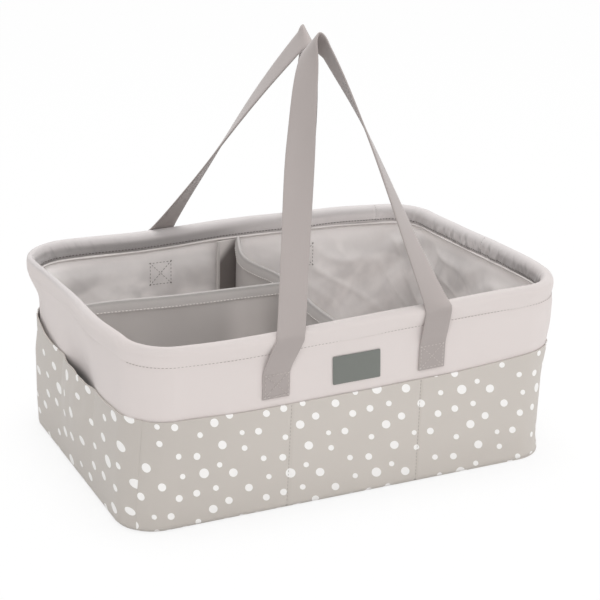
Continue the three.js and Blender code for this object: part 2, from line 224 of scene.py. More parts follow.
def loftLoops(name, grid, uv, closed=False, sharp=50):
    # solid whose sections are the columns of grid (loop, run, xyz); open ends are closed by strips
    loop, run = grid.shape[:2]
    vertices = grid.reshape(-1, 3)
    r, c = np.meshgrid(np.arange(loop), np.arange(run if closed else run - 1), indexing="ij")
    r, c = r.ravel(), c.ravel()
    nextRow, nextCol = (r + 1) % loop, (c + 1) % run
    faces = np.stack([r * run + c, r * run + nextCol, nextRow * run + nextCol, nextRow * run + c], 1)
    uvs = np.stack([uv[r, c], uv[r, c + 1], uv[nextRow, c + 1], uv[nextRow, c]], 1)
    if not closed:
        i = np.arange(loop // 2 - 1)
        far = loop - 1 - i
        for col, order in ((0, 1), (run - 1, -1)):
            rows = np.stack([i, i + 1, far - 1, far], 1)[:, ::order]
            faces = np.concatenate([faces, rows * run + col])
            uvs = np.concatenate([uvs, uv[rows, col]])
    if volumeOf(vertices, faces) < 0:
        faces, uvs = faces[:, ::-1], uvs[:, ::-1]
    return finishMesh(name, vertices, faces, uvs, sharp)


def wallSheet(name, walks, levels, outside, thickness, closed=False, top=None, shape=None):
    # cloth on the wall: outside face up, inside face down; top gives the upper edge, shape an offset
    shares = np.linspace(0, 1, len(levels))
    share = np.concatenate([shares, shares[::-1]])[:, None]
    z = np.concatenate([levels, levels[::-1]])[:, None]
    walk = walks[None, :]
    if top is not None:
        z = z + (top(walk) - levels[-1]) * share
    z = np.broadcast_to(z, (z.shape[0], walk.shape[1]))
    offset = np.repeat([outside, outside - thickness], len(levels))[:, None]
    offset = offset + (shape(walk, z) if shape else 0)
    along = np.append(walks, 2 * walks[-1] - walks[-2])
    uv = clothUv(along, np.concatenate([z, z[:, :1]], 1))
    return loftLoops(name, settle(wallPoint(walk, offset, z)), uv, closed)


def walked(line):
    # the way along a line to each of its points
    return np.concatenate([[0], np.cumsum(np.linalg.norm(np.diff(line, axis=0), axis=1))])


def smoothPath(points, count):
    # even points on a centripetal spline through the given ones
    points = np.asarray(points, float)
    ends = np.vstack([2 * points[0] - points[1], points, 2 * points[-1] - points[-2]])
    fine = []
    for p0, p1, p2, p3 in zip(ends, ends[1:], ends[2:], ends[3:]):
        t = np.cumsum([0, *(np.sqrt(np.linalg.norm(b - a)) for a, b in ((p0, p1), (p1, p2), (p2, p3)))])
        s = np.linspace(t[1], t[2], 30, endpoint=False)[:, None]
        drawn = [p0, p1, p2, p3]
        for level in (1, 2):
            drawn = [((t[i + level] - s) * a + (s - t[i]) * b) / (t[i + level] - t[i])
                     for i, (a, b) in enumerate(zip(drawn, drawn[1:]))]
        fine.append(((t[2] - s) * drawn[0] + (s - t[1]) * drawn[1]) / (t[2] - t[1]))
    fine = np.vstack([*fine, points[-1:]])
    length = walked(fine)
    at = np.linspace(0, length[-1], count)
    return np.stack([np.interp(at, length, fine[:, axis]) for axis in range(fine.shape[1])], 1)


def tangents(line):
    along = np.gradient(line, axis=0)
    return along / np.linalg.norm(along, axis=1, keepdims=True)


def dress(piece, paint, slot, bodyName, *nodes):
    piece.data.materials.clear()
    piece.data.materials.append(paints[paint])
    if bodyName:
        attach(piece, bodyName)
    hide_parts(*nodes)
    return piece


# Node helpers

def nodeSum(operation, flipped=False):
    # a method of Wire that adds one maths node
    def method(self, *others):
        values = (self, *others)[::-1 if flipped else 1]
        return self.net.node("ShaderNodeMath", {"operation": operation}, dict(enumerate(values)))
    return method


class Wire:
    # one value of a node tree, so that sums on it read as Python
    def __init__(self, net, socket):
        self.net, self.socket = net, socket

    def other(self, output):
        # another output of the same node
        return Wire(self.net, self.socket.node.outputs[output])

    __add__ = __radd__ = nodeSum("ADD")
    __mul__ = __rmul__ = nodeSum("MULTIPLY")
    __sub__, __rsub__ = nodeSum("SUBTRACT"), nodeSum("SUBTRACT", True)
    __truediv__, __abs__ = nodeSum("DIVIDE"), nodeSum("ABSOLUTE")
    sin, fraction, above = nodeSum("SINE"), nodeSum("FRACT"), nodeSum("GREATER_THAN")
    largest, smallest = nodeSum("MAXIMUM"), nodeSum("MINIMUM")


class Nodes:
    def __init__(self, tree):
        self.tree = tree
        tree.nodes.clear()

    def node(self, kind, settings=None, inputs=None, out=0):
        node = self.tree.nodes.new(kind)
        for key, value in (settings or {}).items():
            if key == "stops":
                ramp = node.color_ramp.elements
                ramp.remove(ramp[1])
                for place, grey in value:
                    (ramp[0] if place == 0 else ramp.new(place)).color = (grey, grey, grey, 1)
            else:
                setattr(node, key, value)
        for key, value in (inputs or {}).items():
            if isinstance(value, Wire):
                self.tree.links.new(value.socket, node.inputs[key])
            else:
                node.inputs[key].default_value = value
        return Wire(self, node.outputs[out]) if len(node.outputs) else None


class Paint(Nodes):
    def __init__(self, name):
        self.material = bpy.data.materials.new(name)
        self.material.use_nodes = True
        super().__init__(self.material.node_tree)
        self.place = self.node("ShaderNodeTexCoord", out="Object")

    def axis(self, number):
        return self.node("ShaderNodeSeparateXYZ", inputs={0: self.place}, out=number)

    def noise(self, size, detail=2.0, place=None, distortion=0.0):
        inputs = {"Vector": place or self.place, "Scale": 1 / size, "Detail": detail}
        return self.node("ShaderNodeTexNoise", inputs={**inputs, "Distortion": distortion})

    def between(self, value, low, high, step="SMOOTHSTEP"):
        # a step from 0 to 1, soft unless it is LINEAR
        return self.node("ShaderNodeMapRange", {"interpolation_type": step},
                         {"Value": value, "From Min": low, "From Max": high})

    def betweenMm(self, value, low, high):
        return self.between(value, low * mm, high * mm)

    def mix(self, share, first, second, blend="MIX"):
        settings = {"data_type": "RGBA", "blend_type": blend}
        return self.node("ShaderNodeMix", settings, {0: share, 6: first, 7: second}, out=2)

    def alongRim(self, walk, stops):
        # greys given at places along the outline, in metres from the middle of the front
        stops = [(at / perimeter, grey) for at, grey in stops]
        return self.node("ShaderNodeValToRGB", {"stops": stops}, {0: walk / perimeter})

    def bump(self, height, distance, strength=1.0, under=None):
        inputs = {"Height": height, "Distance": distance, "Strength": strength}
        if under:
            inputs["Normal"] = under
        return self.node("ShaderNodeBump", inputs=inputs)

    def ribs(self, along, pitch):
        # rounded threads side by side
        return (along * (2 * math.pi / pitch)).sin() * 0.5 + 0.5

    def weave(self, u, v, pitch):
        # plain weave: two crossed sets of rounded threads
        turn = 2 * math.pi / pitch
        return ((u * turn).sin() * (v * turn).sin()) * 0.5 + 0.5

    def woven(self, u, v, colour, pitch, drift, blotch=60 * mm):
        # a plain weave's blotched tone, the height of its threads and its fuzz
        fibre, weave = self.noise(fuzz), self.weave(u, v, pitch)
        cloud = self.noise(blotch, 3) * 0.7 + fibre * 0.3
        tone = self.mix(cloud, shade(colour, 1 - drift), shade(colour, 1 + drift))
        return self.mix(weave * 0.12, tone, shade(colour, 0.8)), weave, fibre

    def satinThreads(self, u, crease, depth):
        # slack creases over fine lengthwise threads
        return self.bump(crease, depth, 0.5, self.bump(self.ribs(u, 0.5 * mm), 0.02 * mm))

    def satin(self, u, colour, drift, size):
        # soft blotches of sheen: the tone, the blotches and the bumps
        cloud, crease = self.noise(size), self.noise(size * 0.45, 3)
        tone = self.mix(cloud * 0.75 + crease * 0.25, shade(colour, 1 - drift), shade(colour, 1 + drift))
        return tone, cloud, self.satinThreads(u, crease, 1.2 * mm)

    def cloth(self, colour, roughness, normal, sheen=0.25, specular=0.3):
        inputs = {"Base Color": colour, "Roughness": roughness, "Normal": normal,
                  "Sheen Weight": sheen, "Sheen Roughness": 0.5, "Specular IOR Level": specular}
        shader = self.node("ShaderNodeBsdfPrincipled", inputs=inputs)
        self.node("ShaderNodeOutputMaterial", inputs={"Surface": shader})
        return self.material


def clothPaint(name):
    # a new paint, and the metres along and across its cloth
    paint = Paint(name)
    uv = paint.node("ShaderNodeUVMap", {"uv_map": "cloth"})
    along = paint.node("ShaderNodeSeparateXYZ", inputs={0: uv})
    return paint, along, along.other(1)


fuzz = 1.2 * mm           # size of the fibres' unevenness
threadDepth = 0.06 * mm   # relief of the plain cloths


def linear(red, green, blue):
    # an sRGB colour in the renderer's own numbers
    return tuple(((c / 255 + 0.055) / 1.055) ** 2.4 for c in (red, green, blue)) + (1,)


def shade(colour, factor):
    return tuple(min(1, c * factor) for c in colour[:3]) + (1,)


# Outer wall and lining

wall = {"bottom": 1.3 * mm, "top": 150 * mm, "rows": 34, "liningRows": 64}

# Painted light and shade on the lining along the outline, as (metres from the middle of the front, grey)
liningLightAndShade = [(0, 0.9), (0.22, 0.88), (0.29, 0.9), (0.32, 0.82), (0.36, 0.76), (0.43, 0.76), (0.48, 0.92),
               (0.53, 1), (0.58, 1), (0.63, 0.87), (0.67, 0.85), (0.71, 0.93), (0.77, 0.88), (0.82, 0.82),
               (0.9, 0.82)]


def wallPaint(name, colour):
    # the pale band, painted dark where the pockets cover it: painted shade for the gaps behind their mouths
    paint, u, v = clothPaint(name)
    tone, weave, fibre = paint.woven(u, v, colour, 0.6 * mm, 0.02)
    # painted shade: the wall painted dark below the pockets' mouths
    tone = paint.mix(paint.betweenMm(v, 98, 90), tone, shade(colour, 0.2))
    return paint.cloth(tone, fibre * 0.1 + 0.8, paint.bump(weave + fibre * 0.5, threadDepth))


def liningPaint(name, colour):
    # loose satin: painted sheen in soft-edged patches, painted light under the rim, painted shade towards the
    # floor, and painted light and shade along the outline
    paint, u, v = clothPaint(name)
    patch, fine = paint.noise(38 * mm, 1.5, distortion=0.8), paint.noise(16 * mm)
    sheen = paint.between(patch * 0.8 + fine * 0.2, 0.36, 0.64)
    tone = paint.mix(sheen, shade(colour, 0.86), shade(colour, 1.12))
    # painted shade, darker towards the floor
    tone = paint.mix(paint.betweenMm(v, 105, 35) * 0.4, tone, shade(colour, 0.45))
    # painted light in a band below the rim
    tone = paint.mix(paint.betweenMm(v, 114, 138) * 0.7, tone, shade(colour, 1.12))
    tone = paint.mix(1.0, tone, paint.alongRim(u, liningLightAndShade), "MULTIPLY")
    # painted light just under the piping, where the rim's shadow falls
    tone = paint.mix(paint.betweenMm(v, 134, 142) * 0.9, tone, shade(colour, 1.1))
    return paint.cloth(tone, 0.46 - sheen * 0.14, paint.satinThreads(u, fine, 0.8 * mm), 0.15, 0.5)


def sewnBoxes():
    # the walk of the middle of each handle tab, and which way X runs there
    for middle, way in ((0.0, 1), (perimeter / 2, -1)):
        for x in handle["tabs"]:
            yield middle + way * x, way


# The slack folds: how far they keep from the sewn places, where they are deepest, their depths and sizes
folds = {
    "tapeReach": 17 * mm, "boxReach": 16 * mm, "boxMiddle": 122 * mm, "boxTall": 22 * mm,
    "least": 0.35, "deepest": 25 * mm, "deepReach": 150 * mm, "warp": 22 * mm, "warpSize": 90 * mm,
    "depth": 1.1 * mm, "size": 70 * mm, "clip": 1.7,
    "ridge": 1.2 * mm, "ridgeSize": 75 * mm, "ridgeWidth": 0.45,
}


def liningFold(walk, z):
    # the satin stands off the foam, most in the right half, and lies flat where it is sewn
    inside = smoothMm(z, 12, 40) * (1 - smoothMm(z, 124, 143))
    for middle in endTapeWalks().values():
        inside = inside * (1 - bump(walkGap(walk, middle), 0, folds["tapeReach"]))
    for middle, _ in sewnBoxes():
        near = bump(walkGap(walk, middle), 0, folds["boxReach"])
        inside = inside * (1 - near * bump(z, folds["boxMiddle"], folds["boxTall"]))
    deep = bump(walkGap(walk, cornerWalk["backRight"]), folds["deepest"], folds["deepReach"])
    slack = folds["least"] + (1 - folds["least"]) * deep
    warp = folds["warp"] * ripples(walk, z, folds["warpSize"], 13)
    fold = ripples(walk + z * 0.7 + warp, z * 1.3, folds["size"], 11, 5)
    ridge = bump(ripples(walk - z * 0.5 + warp, z, folds["ridgeSize"], 17, 4), 0, folds["ridgeWidth"])
    sunk = folds["depth"] * (folds["clip"] - np.clip(fold, -folds["clip"], folds["clip"]))
    return -slack * (sunk + folds["ridge"] * ridge) * inside


def makeWalls():
    levels = np.linspace(wall["bottom"], wall["top"], wall["rows"])
    cloth = wallSheet("outer_wall_cloth", ringWalks, levels, 0.0, body["wallFabric"], True)
    dress(cloth, "wall", "wall_fabric", "caddy_body", "outer_wall")
    inner = np.linspace(body["floorTop"] + body["seat"], wall["top"], wall["liningRows"])
    satin = wallSheet("wall_lining_satin", ringWalks, inner, liningFace + body["lining"], body["lining"],
                      True, shape=liningFold)
    dress(satin, "lining", "lining", "caddy_body", "wall_lining")


# Floor

floor = {"edgeRound": 4 * mm, "baseInset": 0.8 * mm, "baseCloth": 1 * mm, "wave": 0.4 * mm,
         "waveSize": 120 * mm, "rings": 16}


def floorSheet(name, outside, bottom, thickness, wave, paint, slot, node):
    # rings in the outline of the floor that shrink to its middle, the lower face and then the upper one
    shares = np.linspace(0, 1, floor["rings"])[:-1]
    edge = wallPoint(ringWalks[::2], outside, bottom, soft=False)
    face = np.stack([edge * [1 - s, 1 - s, 1] for s in shares])
    uneven = ripples(face[..., 0], face[..., 1], floor["waveSize"], 21)
    face[..., 2] += wave * uneven * smooth(shares, 0, 0.2)[:, None]
    grid = np.concatenate([face[::-1], face + [0, 0, thickness]])
    loop, run = grid.shape[:2]
    middle = [[0, 0, bottom], [0, 0, bottom + thickness]]
    vertices = settle(np.concatenate([grid.reshape(-1, 3), middle]))
    pairs = [(c, (c + 1) % run) for c in range(run)]
    rows = [r * run for r in range(loop)]
    faces = [[r + a, r + b, r + run + b, r + run + a] for r in rows[:-1] for a, b in pairs]
    faces += [[loop * run, b, a] for a, b in pairs]
    faces += [[rows[-1] + a, rows[-1] + b, loop * run + 1] for a, b in pairs]
    uvs = np.concatenate([vertices[f][:, :2] for f in faces])
    piece = dress(finishMesh(name, vertices, faces, uvs), paint, slot, "caddy_body", node)


def makeFloor():
    floorSheet("floor_lining_satin", liningFace + body["lining"], body["floorTop"] - body["lining"],
               body["lining"], floor["wave"], "lining", "lining", "base_lining")
    floorSheet("base_cloth", -floor["baseInset"], 0.0, floor["baseCloth"], 0.0, "dots", "dotted_fabric",
               "base_fabric")


def makeBoard(cell=40 * mm):
    # the board's own solid, cut into short lengths so that it settles with the cloth around it
    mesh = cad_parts["base_board"].data.copy()
    work = bmesh.new()
    work.from_mesh(mesh)
    bmesh.ops.remove_doubles(work, verts=work.verts, dist=1e-6)
    low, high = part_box("base_board")
    for axis in range(3):
        count = int((high[axis] - low[axis]) / cell)
        for step in range(1, count + 1):
            at, normal = Vector((0, 0, 0)), Vector((0, 0, 0))
            at[axis], normal[axis] = low[axis] + step * (high[axis] - low[axis]) / (count + 1), 1
            cutThrough = [*work.verts, *work.edges, *work.faces]
            bmesh.ops.bisect_plane(work, geom=cutThrough, plane_co=at, plane_no=normal)
    for vertex, place in zip(work.verts, settle([v.co for v in work.verts])):
        vertex.co = place
    layer = work.loops.layers.uv.new("cloth")
    for face in work.faces:
        for loop in face.loops:
            loop[layer].uv = (loop.vert.co.x + loop.vert.co.y, loop.vert.co.z)
    work.to_mesh(mesh)
    work.free()
    mesh.polygons.foreach_set("use_smooth", [True] * len(mesh.polygons))
    mesh.set_sharp_from_angle(angle=math.radians(40))
    mesh.name = "base_stiffener"
    dress(addObject("base_stiffener", mesh), "board", "board", "caddy_body", "base_board")


# Rolled rim

rim = {
    "roll": 7 * mm, "bulge": 2.4 * mm, "inside": 9.2 * mm, "hem": 18.5 * mm,
    "hemOut": 0.02 * mm, "hemIn": 8.0 * mm, "facing": 16.5 * mm, "thinned": 3.5 * mm,
    "gather": 1.3 * mm, "gatherPitch": 17 * mm,
    # where the facing is gathered: the place, how much, how far past it and over what reach
    "gathers": ((sideWalk["right"], 1.0, 10 * mm, 105 * mm), (cornerWalk["backLeft"], 0.9, -15 * mm, 30 * mm),
                (cornerWalk["frontRight"], 1.2, 30 * mm, 25 * mm)),
    "seams": (("back", -158 * mm), ("right", -5 * mm)), "seamDepth": 1.2 * mm, "seamHalf": 1.6 * mm,
    "slackAt": -75 * mm, "slackReach": 85 * mm, "tuck": 0.4 * mm,    # along the left end
    "uneven": 0.5 * mm, "unevenSize": 110 * mm, "liftSize": 140 * mm,
}
hemZ, facingZ = body["height"] - rim["hem"], body["height"] - rim["facing"]

# Its tones, mostly painted shade: plain ones, and ones along the outline as the lining has them
rimPaintedShade = {
    # painted shade: the upper outside and the top of the roll painted darker
    "outer": 0.98, "top": 0.69, "crest": 0.77,
    "ruddy": [(0, 1), (0.16, 1), (0.26, 0), (0.95, 0), (1.1, 1)],     # where the top has the wall's tint
    # painted shadows in the gathered folds of the facing, along the outline
    "gathered": [(0, 0), (0.2, 0.1), (0.25, 0.9), (0.38, 0.9), (0.42, 0.4), (0.5, 0), (0.75, 0), (0.79, 0.7),
                 (0.84, 0.7), (0.88, 0)],
    # painted shade on the facing along the outline, over its neutral cloth
    "facing": [(0, 0.64), (0.2, 0.46), (0.28, 0.54), (0.315, 0.84), (0.39, 0.88), (0.44, 0.66), (0.5, 0.97),
               (0.57, 1), (0.62, 0.82), (0.65, 0.68), (0.675, 0.53), (0.71, 0.47), (0.765, 0.41), (0.8, 0.42),
               (0.85, 0.46), (0.95, 0.64)],
}


def rimPaint(name, outside, lined):
    # the wall cloth turned over the rim with its top painted darker as painted shade, a neutral facing inside
    # made greyer by painted shade along the outline, painted shadows in its gathered folds and a painted
    # shadow in the crease where it is sewn
    paint, u, v = clothPaint(name)
    fibre, weave = paint.noise(fuzz), paint.weave(u, v, 0.6 * mm)
    cloud = paint.noise(25 * mm, 3)
    inside = paint.betweenMm(v, 29.5, 34.5)
    # the facing's neutral cloth darkened by painted shade along the outline
    facing = paint.mix(1.0, lined, paint.alongRim(u, rimPaintedShade["facing"]), "MULTIPLY")
    plain, tinted = shade(lined, rimPaintedShade["top"]), shade(outside, rimPaintedShade["crest"])
    crest = paint.mix(paint.alongRim(u, rimPaintedShade["ruddy"]), plain, tinted)
    # painted shade: the upper outside and the top of the roll darker
    tone = paint.mix(paint.betweenMm(v, 10, 16), outside, shade(outside, rimPaintedShade["outer"]))
    tone = paint.mix(paint.betweenMm(v, 13, 20), tone, crest)
    tone = paint.mix(inside, tone, facing)
    tone = paint.mix(cloud * inside * 0.2, tone, shade(lined, 0.48))
    drawn = paint.node("ShaderNodeCombineXYZ", inputs={0: u + v * 0.4, 1: v * 0.3})
    # painted shadows in the gathered folds of the facing
    fold = paint.between(paint.noise(9 * mm, place=drawn), 0.5, 0.66)
    gathered = paint.alongRim(u, rimPaintedShade["gathered"]) * paint.betweenMm(v, 24, 33)
    tone = paint.mix(fold * gathered * 0.55, tone, shade(lined, 0.32))
    # painted shadow in the crease above the piping
    tone = paint.mix(paint.betweenMm(v, 38.6, 39.8) * 0.2, tone, shade(outside, 0.3))
    tone = paint.mix(weave * 0.1 + fibre * 0.06, tone, shade(outside, 0.7))
    return paint.cloth(tone, fibre * 0.1 + 0.8 - inside * 0.25, paint.bump(weave + fibre * 0.5, threadDepth))


def rimSection():
    # offset and height round the roll: up the outside, over the top, down the inside, back under
    middleZ = body["height"] - rim["roll"]
    middle, reach = (rim["bulge"] - rim["inside"]) / 2, (rim["bulge"] + rim["inside"]) / 2
    rise = np.linspace(0, 1, 9)[:-1]
    outer = np.stack([rim["hemOut"] + (rim["bulge"] - rim["hemOut"]) * np.sin(rise * math.pi / 2),
                      hemZ + (middleZ - hemZ) * rise], 1)
    turn = np.linspace(0, math.pi, 26)
    roll = np.stack([middle + reach * np.cos(turn), middleZ + rim["roll"] * np.sin(turn)], 1)
    fall = np.linspace(0, 1, 11)[1:]
    inner = np.stack([-rim["inside"] + (rim["inside"] - rim["hemIn"]) * fall ** 1.5,
                      middleZ + (facingZ - middleZ) * fall], 1)
    under = np.array([[-rim["hemIn"] + 1 * mm, facingZ + 1 * mm], [0.0, hemZ + 7 * mm]])
    return np.vstack([outer, roll, inner, under])


def gatherOn(walk):
    gathered = sum(share * bump(walkGap(walk, middle), past, reach)
                   for middle, share, past, reach in rim["gathers"])
    return 0.1 + gathered * np.clip(0.6 + 0.6 * ripples(walk, 0 * walk, 60 * mm, 39), 0.1, 1.3)


def rimSurface(walk, offset, z):
    # the roll as it is sewn: gathers on the facing, joins of its strips, a slack stretch along the left end
    inside = smoothMm(-offset, 2, 8) * smoothMm(z, 146, 150)
    wrinkle = ripples(walk + (z - 150 * mm) * 0.5, z * 0.35, rim["gatherPitch"], 31, 9)
    wrinkle = np.clip(1 - np.abs(wrinkle) * 1.3, -0.4, 1) * (1 - 0.7 * smoothMm(z, 151, 159))
    dent = -rim["gather"] * gatherOn(walk) * wrinkle * inside
    for side, gap in rim["seams"]:
        join = bump(walkGap(walk, sideWalk[side]), gap, rim["seamHalf"])
        dent = dent + rim["seamDepth"] * join * inside * smoothMm(z, 149, 152)
    slack = bump(walkGap(walk, sideWalk["left"]), rim["slackAt"], rim["slackReach"])
    thinned = rim["thinned"] * smooth(-offset, 0, rim["inside"]) * smoothMm(z, 149, 157)
    tucked = rim["tuck"] * (1 - smoothMm(z, 146, 151)) * (offset >= 0)
    thinned = slack * (thinned - 0.8 * np.maximum(offset, 0) - tucked)
    soft = rim["uneven"] * ripples(walk, z, rim["unevenSize"], 35)
    lift = rim["uneven"] * ripples(walk, 0 * z, rim["liftSize"], 37)
    return settle(wallPoint(walk, offset + dent + thinned + soft, z + lift))


def makeRim():
    section = rimSection()
    walks = np.linspace(0, perimeter, 900, endpoint=False)
    grid = rimSurface(walks[None, :], section[:, :1], section[:, 1:])
    uv = clothUv(np.append(walks, perimeter), walked(section)[:, None])
    roll = loftLoops("rim_roll", grid, uv, True, 60)
    dress(roll, "rim", "wall_fabric", "caddy_body", "rim_cover", "rim_foam")


piping = {"radius": 1.1 * mm, "offset": liningFace - 1.3 * mm, "drop": 0.9 * mm, "sides": 10}


def pipingPaint(name, colour):
    paint, u, _ = clothPaint(name)
    tone, cloud, normal = paint.satin(u, colour, 0.03, 80 * mm)
    return paint.cloth(tone, cloud * 0.16 + 0.42, normal, 0.15, 0.5)


def makePiping():
    turn = np.linspace(0, 2 * math.pi, piping["sides"], endpoint=False)[:, None]
    offset = piping["offset"] + piping["radius"] * np.cos(turn)
    z = facingZ - piping["drop"] + piping["radius"] * np.sin(turn)
    uv = clothUv(np.append(ringWalks, perimeter), turn * piping["radius"])
    cord = loftLoops("rim_piping_cord", settle(wallPoint(ringWalks[None, :], offset, z)), uv, True)
    dress(cord, "piping", "binding", "caddy_body", "rim_piping")


# Pocket sleeve

pocket = {
    "thickness": 1.2 * mm, "mouth": 96 * mm, "foot": 0.4 * mm, "rows": 30, "step": 1.2 * mm,
    # along an end from its middle: where the mouth is tacked, how far its two slack lobes reach and stand off
    "tack": 36 * mm, "frontReach": -50 * mm, "backReach": 128 * mm, "frontSlack": 8 * mm,
    "backSlack": 2.5 * mm, "slackStart": 10 * mm, "cornerGap": 0.05 * mm,
    "seams": (-60 * mm, 61.5 * mm), "seamDepth": 1 * mm, "seamHalf": 1.2 * mm,
    # how far the mouth climbs at each corner
    "rises": {"frontLeft": 1 * mm, "frontRight": 5 * mm, "backLeft": 13 * mm, "backRight": 5 * mm},
    "riseReach": 62 * mm,
}

# The printed dots: one slanted repeat of the print, centres as shares of it and diameters in millimetres
dotPrint = {
    "ground": linear(207, 200, 193), "dot": linear(250, 248, 246), "unit": 73.4 * mm,
    "repeat": (80.8 * mm, 77.6 * mm), "stretch": 0.175, "endStretch": 1.6, "slant": (0.05, 0.191),
    "dots": [(0.40, 0.85, 7.3), (0.58, 0.95, 6.3), (0.81, 0.10, 6.6), (0.43, 0.10, 4.9), (0.01, 0.98, 5.9),
             (0.21, 0.04, 5.9), (0.92, 0.77, 5.9), (0.73, 0.75, 4.3), (0.23, 0.70, 4.9), (0.50, 0.60, 7.3),
             (0.76, 0.57, 4.9), (0.98, 0.45, 4.9), (0.20, 0.46, 5.9), (0.47, 0.37, 4.6), (0.63, 0.28, 7.3),
             (0.29, 0.27, 8.2), (0.04, 0.23, 4.6)],
    # painted shade along the outline: the ground a little darker towards and along the left end
    "shade": [(0, 1), (0.7, 1), (0.9, 0.95), (1.1, 0.93), (1.16, 0.93), (1.22, 0.97), (1.28, 1)],
}


def dottedPaint(name):
    paint, u, v = clothPaint(name)
    (wide, tall), (slantAcross, slantUp) = dotPrint["repeat"], dotPrint["slant"]
    middle = u.largest(-0.2).smallest(0.2)
    rightEnd = u.above(cornerWalk["frontRight"]) - u.above(cornerWalk["backRight"])
    onEnd = rightEnd + u.above(cornerWalk["backLeft"])
    along = u * (1 - onEnd * (1 - 1 / dotPrint["endStretch"]))
    across = (along - middle * middle * dotPrint["stretch"] + v * slantAcross) / wide
    upward = (v + along * slantUp) / tall
    inDot = None
    for x, y, size in dotPrint["dots"]:
        dx = (across + (1.5 - x)).fraction() - 0.5
        dy = (upward + (1.5 - y)).fraction() - 0.5
        edge = (size * mm / dotPrint["unit"] / 2) ** 2 - (dx * dx + dy * dy)
        inDot = edge if inDot is None else inDot.largest(edge)
    printed = inDot.above(0)
    tone, weave, fibre = paint.woven(u, v, dotPrint["ground"], 0.7 * mm, 0.05, 70 * mm)
    # painted shade on the ground, darker towards and along the left end
    shading = paint.alongRim((u / perimeter).fraction() * perimeter, dotPrint["shade"])
    tone = paint.mix(printed, paint.mix(1.0, tone, shading, "MULTIPLY"), dotPrint["dot"])
    normal = paint.bump(weave + fibre * 0.5 + printed * 0.4, threadDepth)
    return paint.cloth(tone, fibre * 0.1 + 0.78 - printed * 0.15, normal)


def roundedFoot(z):
    # the sleeve turns under at the floor
    r = floor["edgeRound"]
    low = np.clip(r - z, 0, r * 0.98)
    return np.sqrt(r * r - low * low) - r


def mouthGape(walk, side):
    # the slack of an end pocket's mouth, tacked to the wall in one place
    y = walkGap(walk, sideWalk[side]) * (1 if side == "right" else -1)

    def lobe(low, high, depth):
        return depth * np.sin(math.pi * np.clip((y - low) / (high - low), 0, 1))

    front = lobe(pocket["frontReach"], pocket["tack"], pocket["frontSlack"])
    return front + lobe(pocket["tack"], pocket["backReach"], pocket["backSlack"])


def sleeveShape(side):
    def shape(walk, z):
        out = roundedFoot(z)
        if side in ("left", "right"):
            lean = np.clip((z - pocket["slackStart"]) / (pocket["mouth"] - pocket["slackStart"]), 0, 1.1)
            gape = mouthGape(walk, side)
            flutter = 0.7 * mm * ripples(walk, z, 30 * mm, 41) * smoothMm(gape, 2, 6)
            return out + (gape + flutter) * lean ** 1.3
        for x in pocket["seams"]:
            out = out - pocket["seamDepth"] * bump(walkGap(walk, sideWalk[side] + x), 0, pocket["seamHalf"])
        return out
    return shape


def mouthLine(side):
    def top(walk):
        climb = sum(rise * bump(walkGap(walk, cornerWalk[corner]), 0, pocket["riseReach"])
                    for corner, rise in pocket["rises"].items())
        if side in ("left", "right"):
            loose = smoothMm(mouthGape(walk, side), 1, 5)
            return pocket["mouth"] + climb + 0.5 * mm * ripples(walk, 0 * walk, 22 * mm, 43) * loose
        return pocket["mouth"] + climb + 0.25 * mm * ripples(walk, 0 * walk, 60 * mm, 45)
    return top


def panelEnds(side):
    names = {"front": ("frontLeft", "frontRight"), "right": ("frontRight", "backRight"),
             "back": ("backRight", "backLeft"), "left": ("backLeft", "frontLeft")}[side]
    start, end = (cornerWalk[name] for name in names)
    if start > end:
        start -= perimeter
    return start + pocket["cornerGap"], end - pocket["cornerGap"]


def makePockets():
    levels = np.linspace(0, 1, pocket["rows"]) ** 1.25 * (pocket["mouth"] - pocket["foot"]) + pocket["foot"]
    for side, held in (("front", "stretched"), ("right", "hung"), ("back", "stretched"), ("left", "hung")):
        start, end = panelEnds(side)
        walks = np.linspace(start, end, int((end - start) / pocket["step"]))
        panel = wallSheet(f"{side}_pocket_panel", walks, levels, body["seat"] + pocket["thickness"],
                          pocket["thickness"], top=mouthLine(side), shape=sleeveShape(side))
        dress(panel, "dots", "dotted_fabric", "caddy_body", f"{side}_pocket")


# Handles

# Each leg: X at the rim, degrees of twist, how late it comes, the twist at the top, its bow and its lean
handle = {
    "width": 25 * mm, "thickness": 1.6 * mm, "tabBottom": 104.5 * mm, "tabMiddle": 115 * mm,
    "hinge": 128 * mm,
    "tabs": (-75 * mm, 70 * mm), "bowPeak": 1.8, "legSteps": 50, "twistedLie": (0, 0.8, 0.6),
    "front": {"side": -1, "apex": (7.3 * mm, -31 * mm, 382.8 * mm), "bend": 22.2 * mm,
              "lie": (0.19, 1.39, 1.4),
              "legs": ((-64 * mm, 100, 2.8, -28, -1.6 * mm, -1.4 * mm),
                       (72.5 * mm, 73.6, 0.56, 7.6, 4.3 * mm, 4.2 * mm))},
    "rear": {"side": 1, "apex": (25.5 * mm, 12 * mm, 374.2 * mm), "bend": 18 * mm, "lie": (0, 1, 0.75),
             "legs": ((-68.5 * mm, 72.5, 0.62, 0, -4.4 * mm, 0.0),
                      (73 * mm, 80, 1.3, 0, 0.5 * mm, 1.2 * mm))},
}


